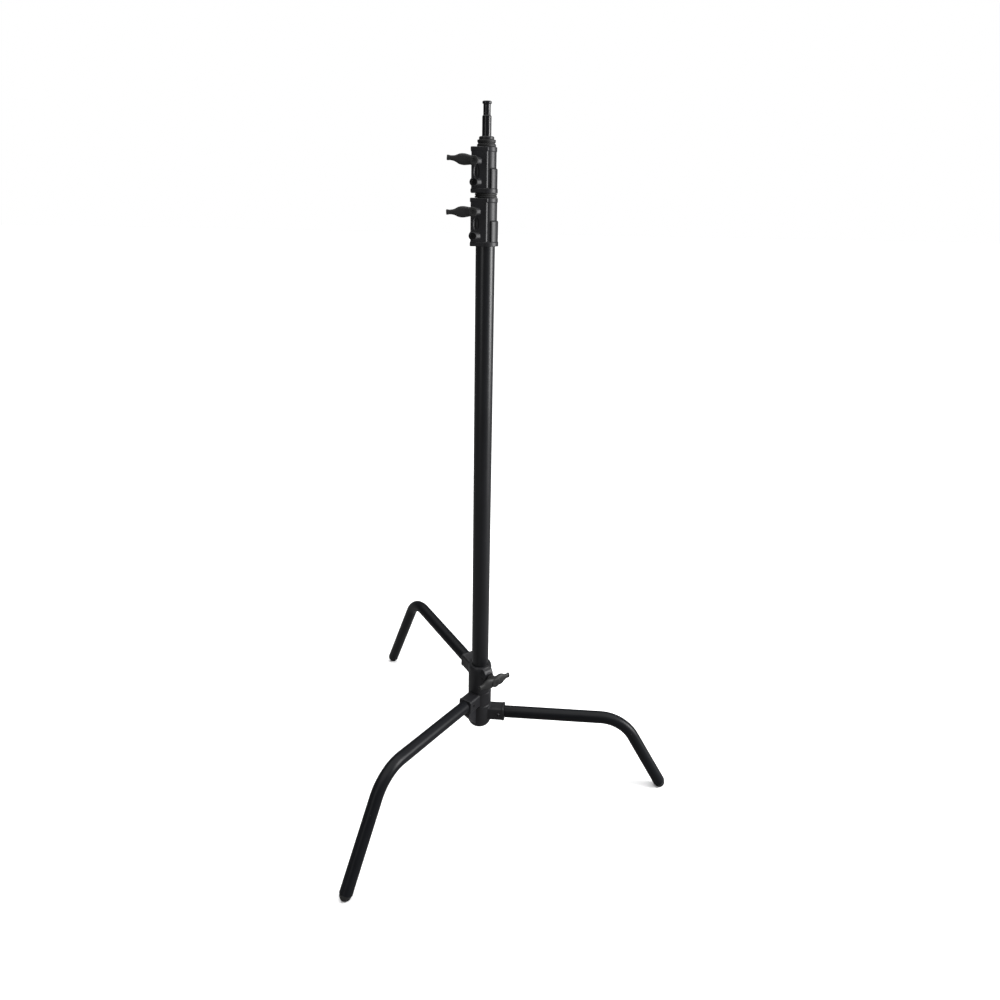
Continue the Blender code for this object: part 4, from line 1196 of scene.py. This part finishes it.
class STAND_OT_stage(bpy.types.Operator):
    """Studio floor, soft lights and camera"""
    bl_idname = "stand.stage"
    bl_label = "Stage"

    def execute(self, context):
        s = context.scene.stand_stage
        self.floor(s)
        self.surroundings(context.scene)
        self.lights()
        self.camera(context.scene, s)
        context.scene.view_settings.view_transform = 'Standard'
        return {'FINISHED'}

    def floor(self, s):
        bm = bmesh.new()
        bmesh.ops.create_grid(bm, x_segments=8, y_segments=8, size=30.0)
        floor = to_object("studio_floor", bm)
        f = Finish("finish_floor")
        cloud = f.noise(0.8, 2.0, 0.5)
        paint = f.blend(cloud, tone(s.floor, 0.99), tone(s.floor, 1.01))
        seen = f.node("ShaderNodeLightPath")
        paint = f.blend(seen, tone(s.floor, s.bounce), paint)
        floor.data.materials.append(f.set(Base_Color=paint, Roughness=0.85, Specular_IOR_Level=0.1))

    def surroundings(self, scene):
        world = bpy.data.worlds.new("studio_air")
        scene.world = world
        world.use_nodes = True
        nodes, links = world.node_tree.nodes, world.node_tree.links
        nodes.clear()
        seen = nodes.new("ShaderNodeBackground")
        seen.inputs["Color"].default_value = (1.0, 1.0, 1.0, 1.0)
        seen.inputs["Strength"].default_value = 1.0
        felt = nodes.new("ShaderNodeBackground")
        felt.inputs["Color"].default_value = (0.96, 0.98, 1.0, 1.0)
        felt.inputs["Strength"].default_value = 0.07
        ray = nodes.new("ShaderNodeLightPath")
        mix = nodes.new("ShaderNodeMixShader")
        out = nodes.new("ShaderNodeOutputWorld")
        links.new(ray.outputs["Is Camera Ray"], mix.inputs[0])
        links.new(felt.outputs[0], mix.inputs[1])
        links.new(seen.outputs[0], mix.inputs[2])
        links.new(mix.outputs[0], out.inputs["Surface"])

    def lights(self):
        self.sky(3.9, 85.0)
        self.soft_box("right_wall", place=(2.2, -0.35, 1.16), wide=0.80, tall=1.50, power=115.0)
        self.soft_box("left_strip", place=(-1.5, -2.1, 1.3), wide=0.30, tall=1.60, power=14.0)

    def sky(self, strength, spread):
        data = bpy.data.lights.new("overhead", 'SUN')
        data.energy = strength
        data.angle = math.radians(spread)
        obj = bpy.data.objects.new("overhead", data)
        bpy.context.scene.collection.objects.link(obj)
        obj.location = AXIS + UP * 3.0

    def soft_box(self, name, place, wide, tall, power):
        """Area light that looks at the column a metre up."""
        data = bpy.data.lights.new(name, 'AREA')
        data.shape = 'RECTANGLE'
        data.size, data.size_y = wide, tall
        data.energy = power
        obj = bpy.data.objects.new(name, data)
        bpy.context.scene.collection.objects.link(obj)
        spot = Vector(place) + AXIS
        look = UP + AXIS - spot
        obj.location = spot
        obj.rotation_euler = look.to_track_quat('-Z', 'Y').to_euler()

    def camera(self, scene, s):
        data = bpy.data.cameras.new("studio_camera")
        data.sensor_width = 36.0
        data.lens = s.focal
        data.shift_x, data.shift_y = s.shift_x, s.shift_y
        data.dof.use_dof = False
        ahead = Vector((math.sin(s.yaw) * math.cos(s.pitch), math.cos(s.yaw) * math.cos(s.pitch),
                        -math.sin(s.pitch)))
        right = Vector((math.cos(s.yaw), -math.sin(s.yaw), 0.0))
        above = right.cross(ahead)
        x = right * math.cos(s.roll) + above * math.sin(s.roll)
        y = above * math.cos(s.roll) - right * math.sin(s.roll)
        m = Matrix((x, y, -ahead)).transposed().to_4x4()
        m.translation = AXIS + Vector((0.0, -s.distance, s.height))
        obj = bpy.data.objects.new("studio_camera", data)
        scene.collection.objects.link(obj)
        obj.matrix_world = m
        scene.camera = obj


class STAND_PT_panel(bpy.types.Panel):
    """Sidebar panel that lists the stand's pieces"""
    bl_idname = "STAND_PT_panel"
    bl_label = "Grip stand"
    bl_space_type = 'VIEW_3D'
    bl_region_type = 'UI'
    bl_category = "Grip stand"

    def draw(self, context):
        for made in STEPS:
            self.layout.operator(made.bl_idname)


STEPS = (STAND_OT_tubes, STAND_OT_hubs, STAND_OT_legs, STAND_OT_collars, STAND_OT_rings,
         STAND_OT_levers, STAND_OT_fasteners, STAND_OT_pin, STAND_OT_inner, STAND_OT_stage)
GROUPS = (("stand_tubes", StandTubes), ("stand_legs", StandLegs), ("stand_hubs", StandHubs),
          ("stand_lower_collar", StandCollar), ("stand_upper_collar", StandCollar),
          ("stand_head", StandHead), ("stand_finish", StandFinish), ("stand_stage", StandStage))
CLASSES = (StandTubes, StandLegs, StandHubs, StandCollar, StandHead, StandFinish, StandStage,
           *STEPS, STAND_PT_panel)


def register():
    for made in CLASSES:
        bpy.utils.register_class(made)
    for name, group in GROUPS:
        setattr(bpy.types.Scene, name, PointerProperty(type=group))


def unregister():
    for name, _ in GROUPS:
        delattr(bpy.types.Scene, name)
    for made in reversed(CLASSES):
        bpy.utils.unregister_class(made)


def size_upper_collar(c):
    """The upper collar is the slimmer of the two."""
    c.low, c.high = 1.206, 1.2825
    c.body, c.top_band, c.pad, c.bottom_band = 0.0178, 0.0187, 0.0200, 0.0208
    c.bore, c.ear, c.face, c.offset = 0.0153, 0.0260, 0.0196, 0.0213
    c.screw, c.pinch, c.pad_high = 1.2585, 1.2240, 1.2476
    c.tilt = math.radians(4.9)


def main():
    register()
    size_upper_collar(bpy.context.scene.stand_upper_collar)
    for made in STEPS:
        group, action = made.bl_idname.split(".")
        getattr(getattr(bpy.ops, group), action)()
    bpy.context.view_layer.update()


if __name__ == "__main__":
    main()
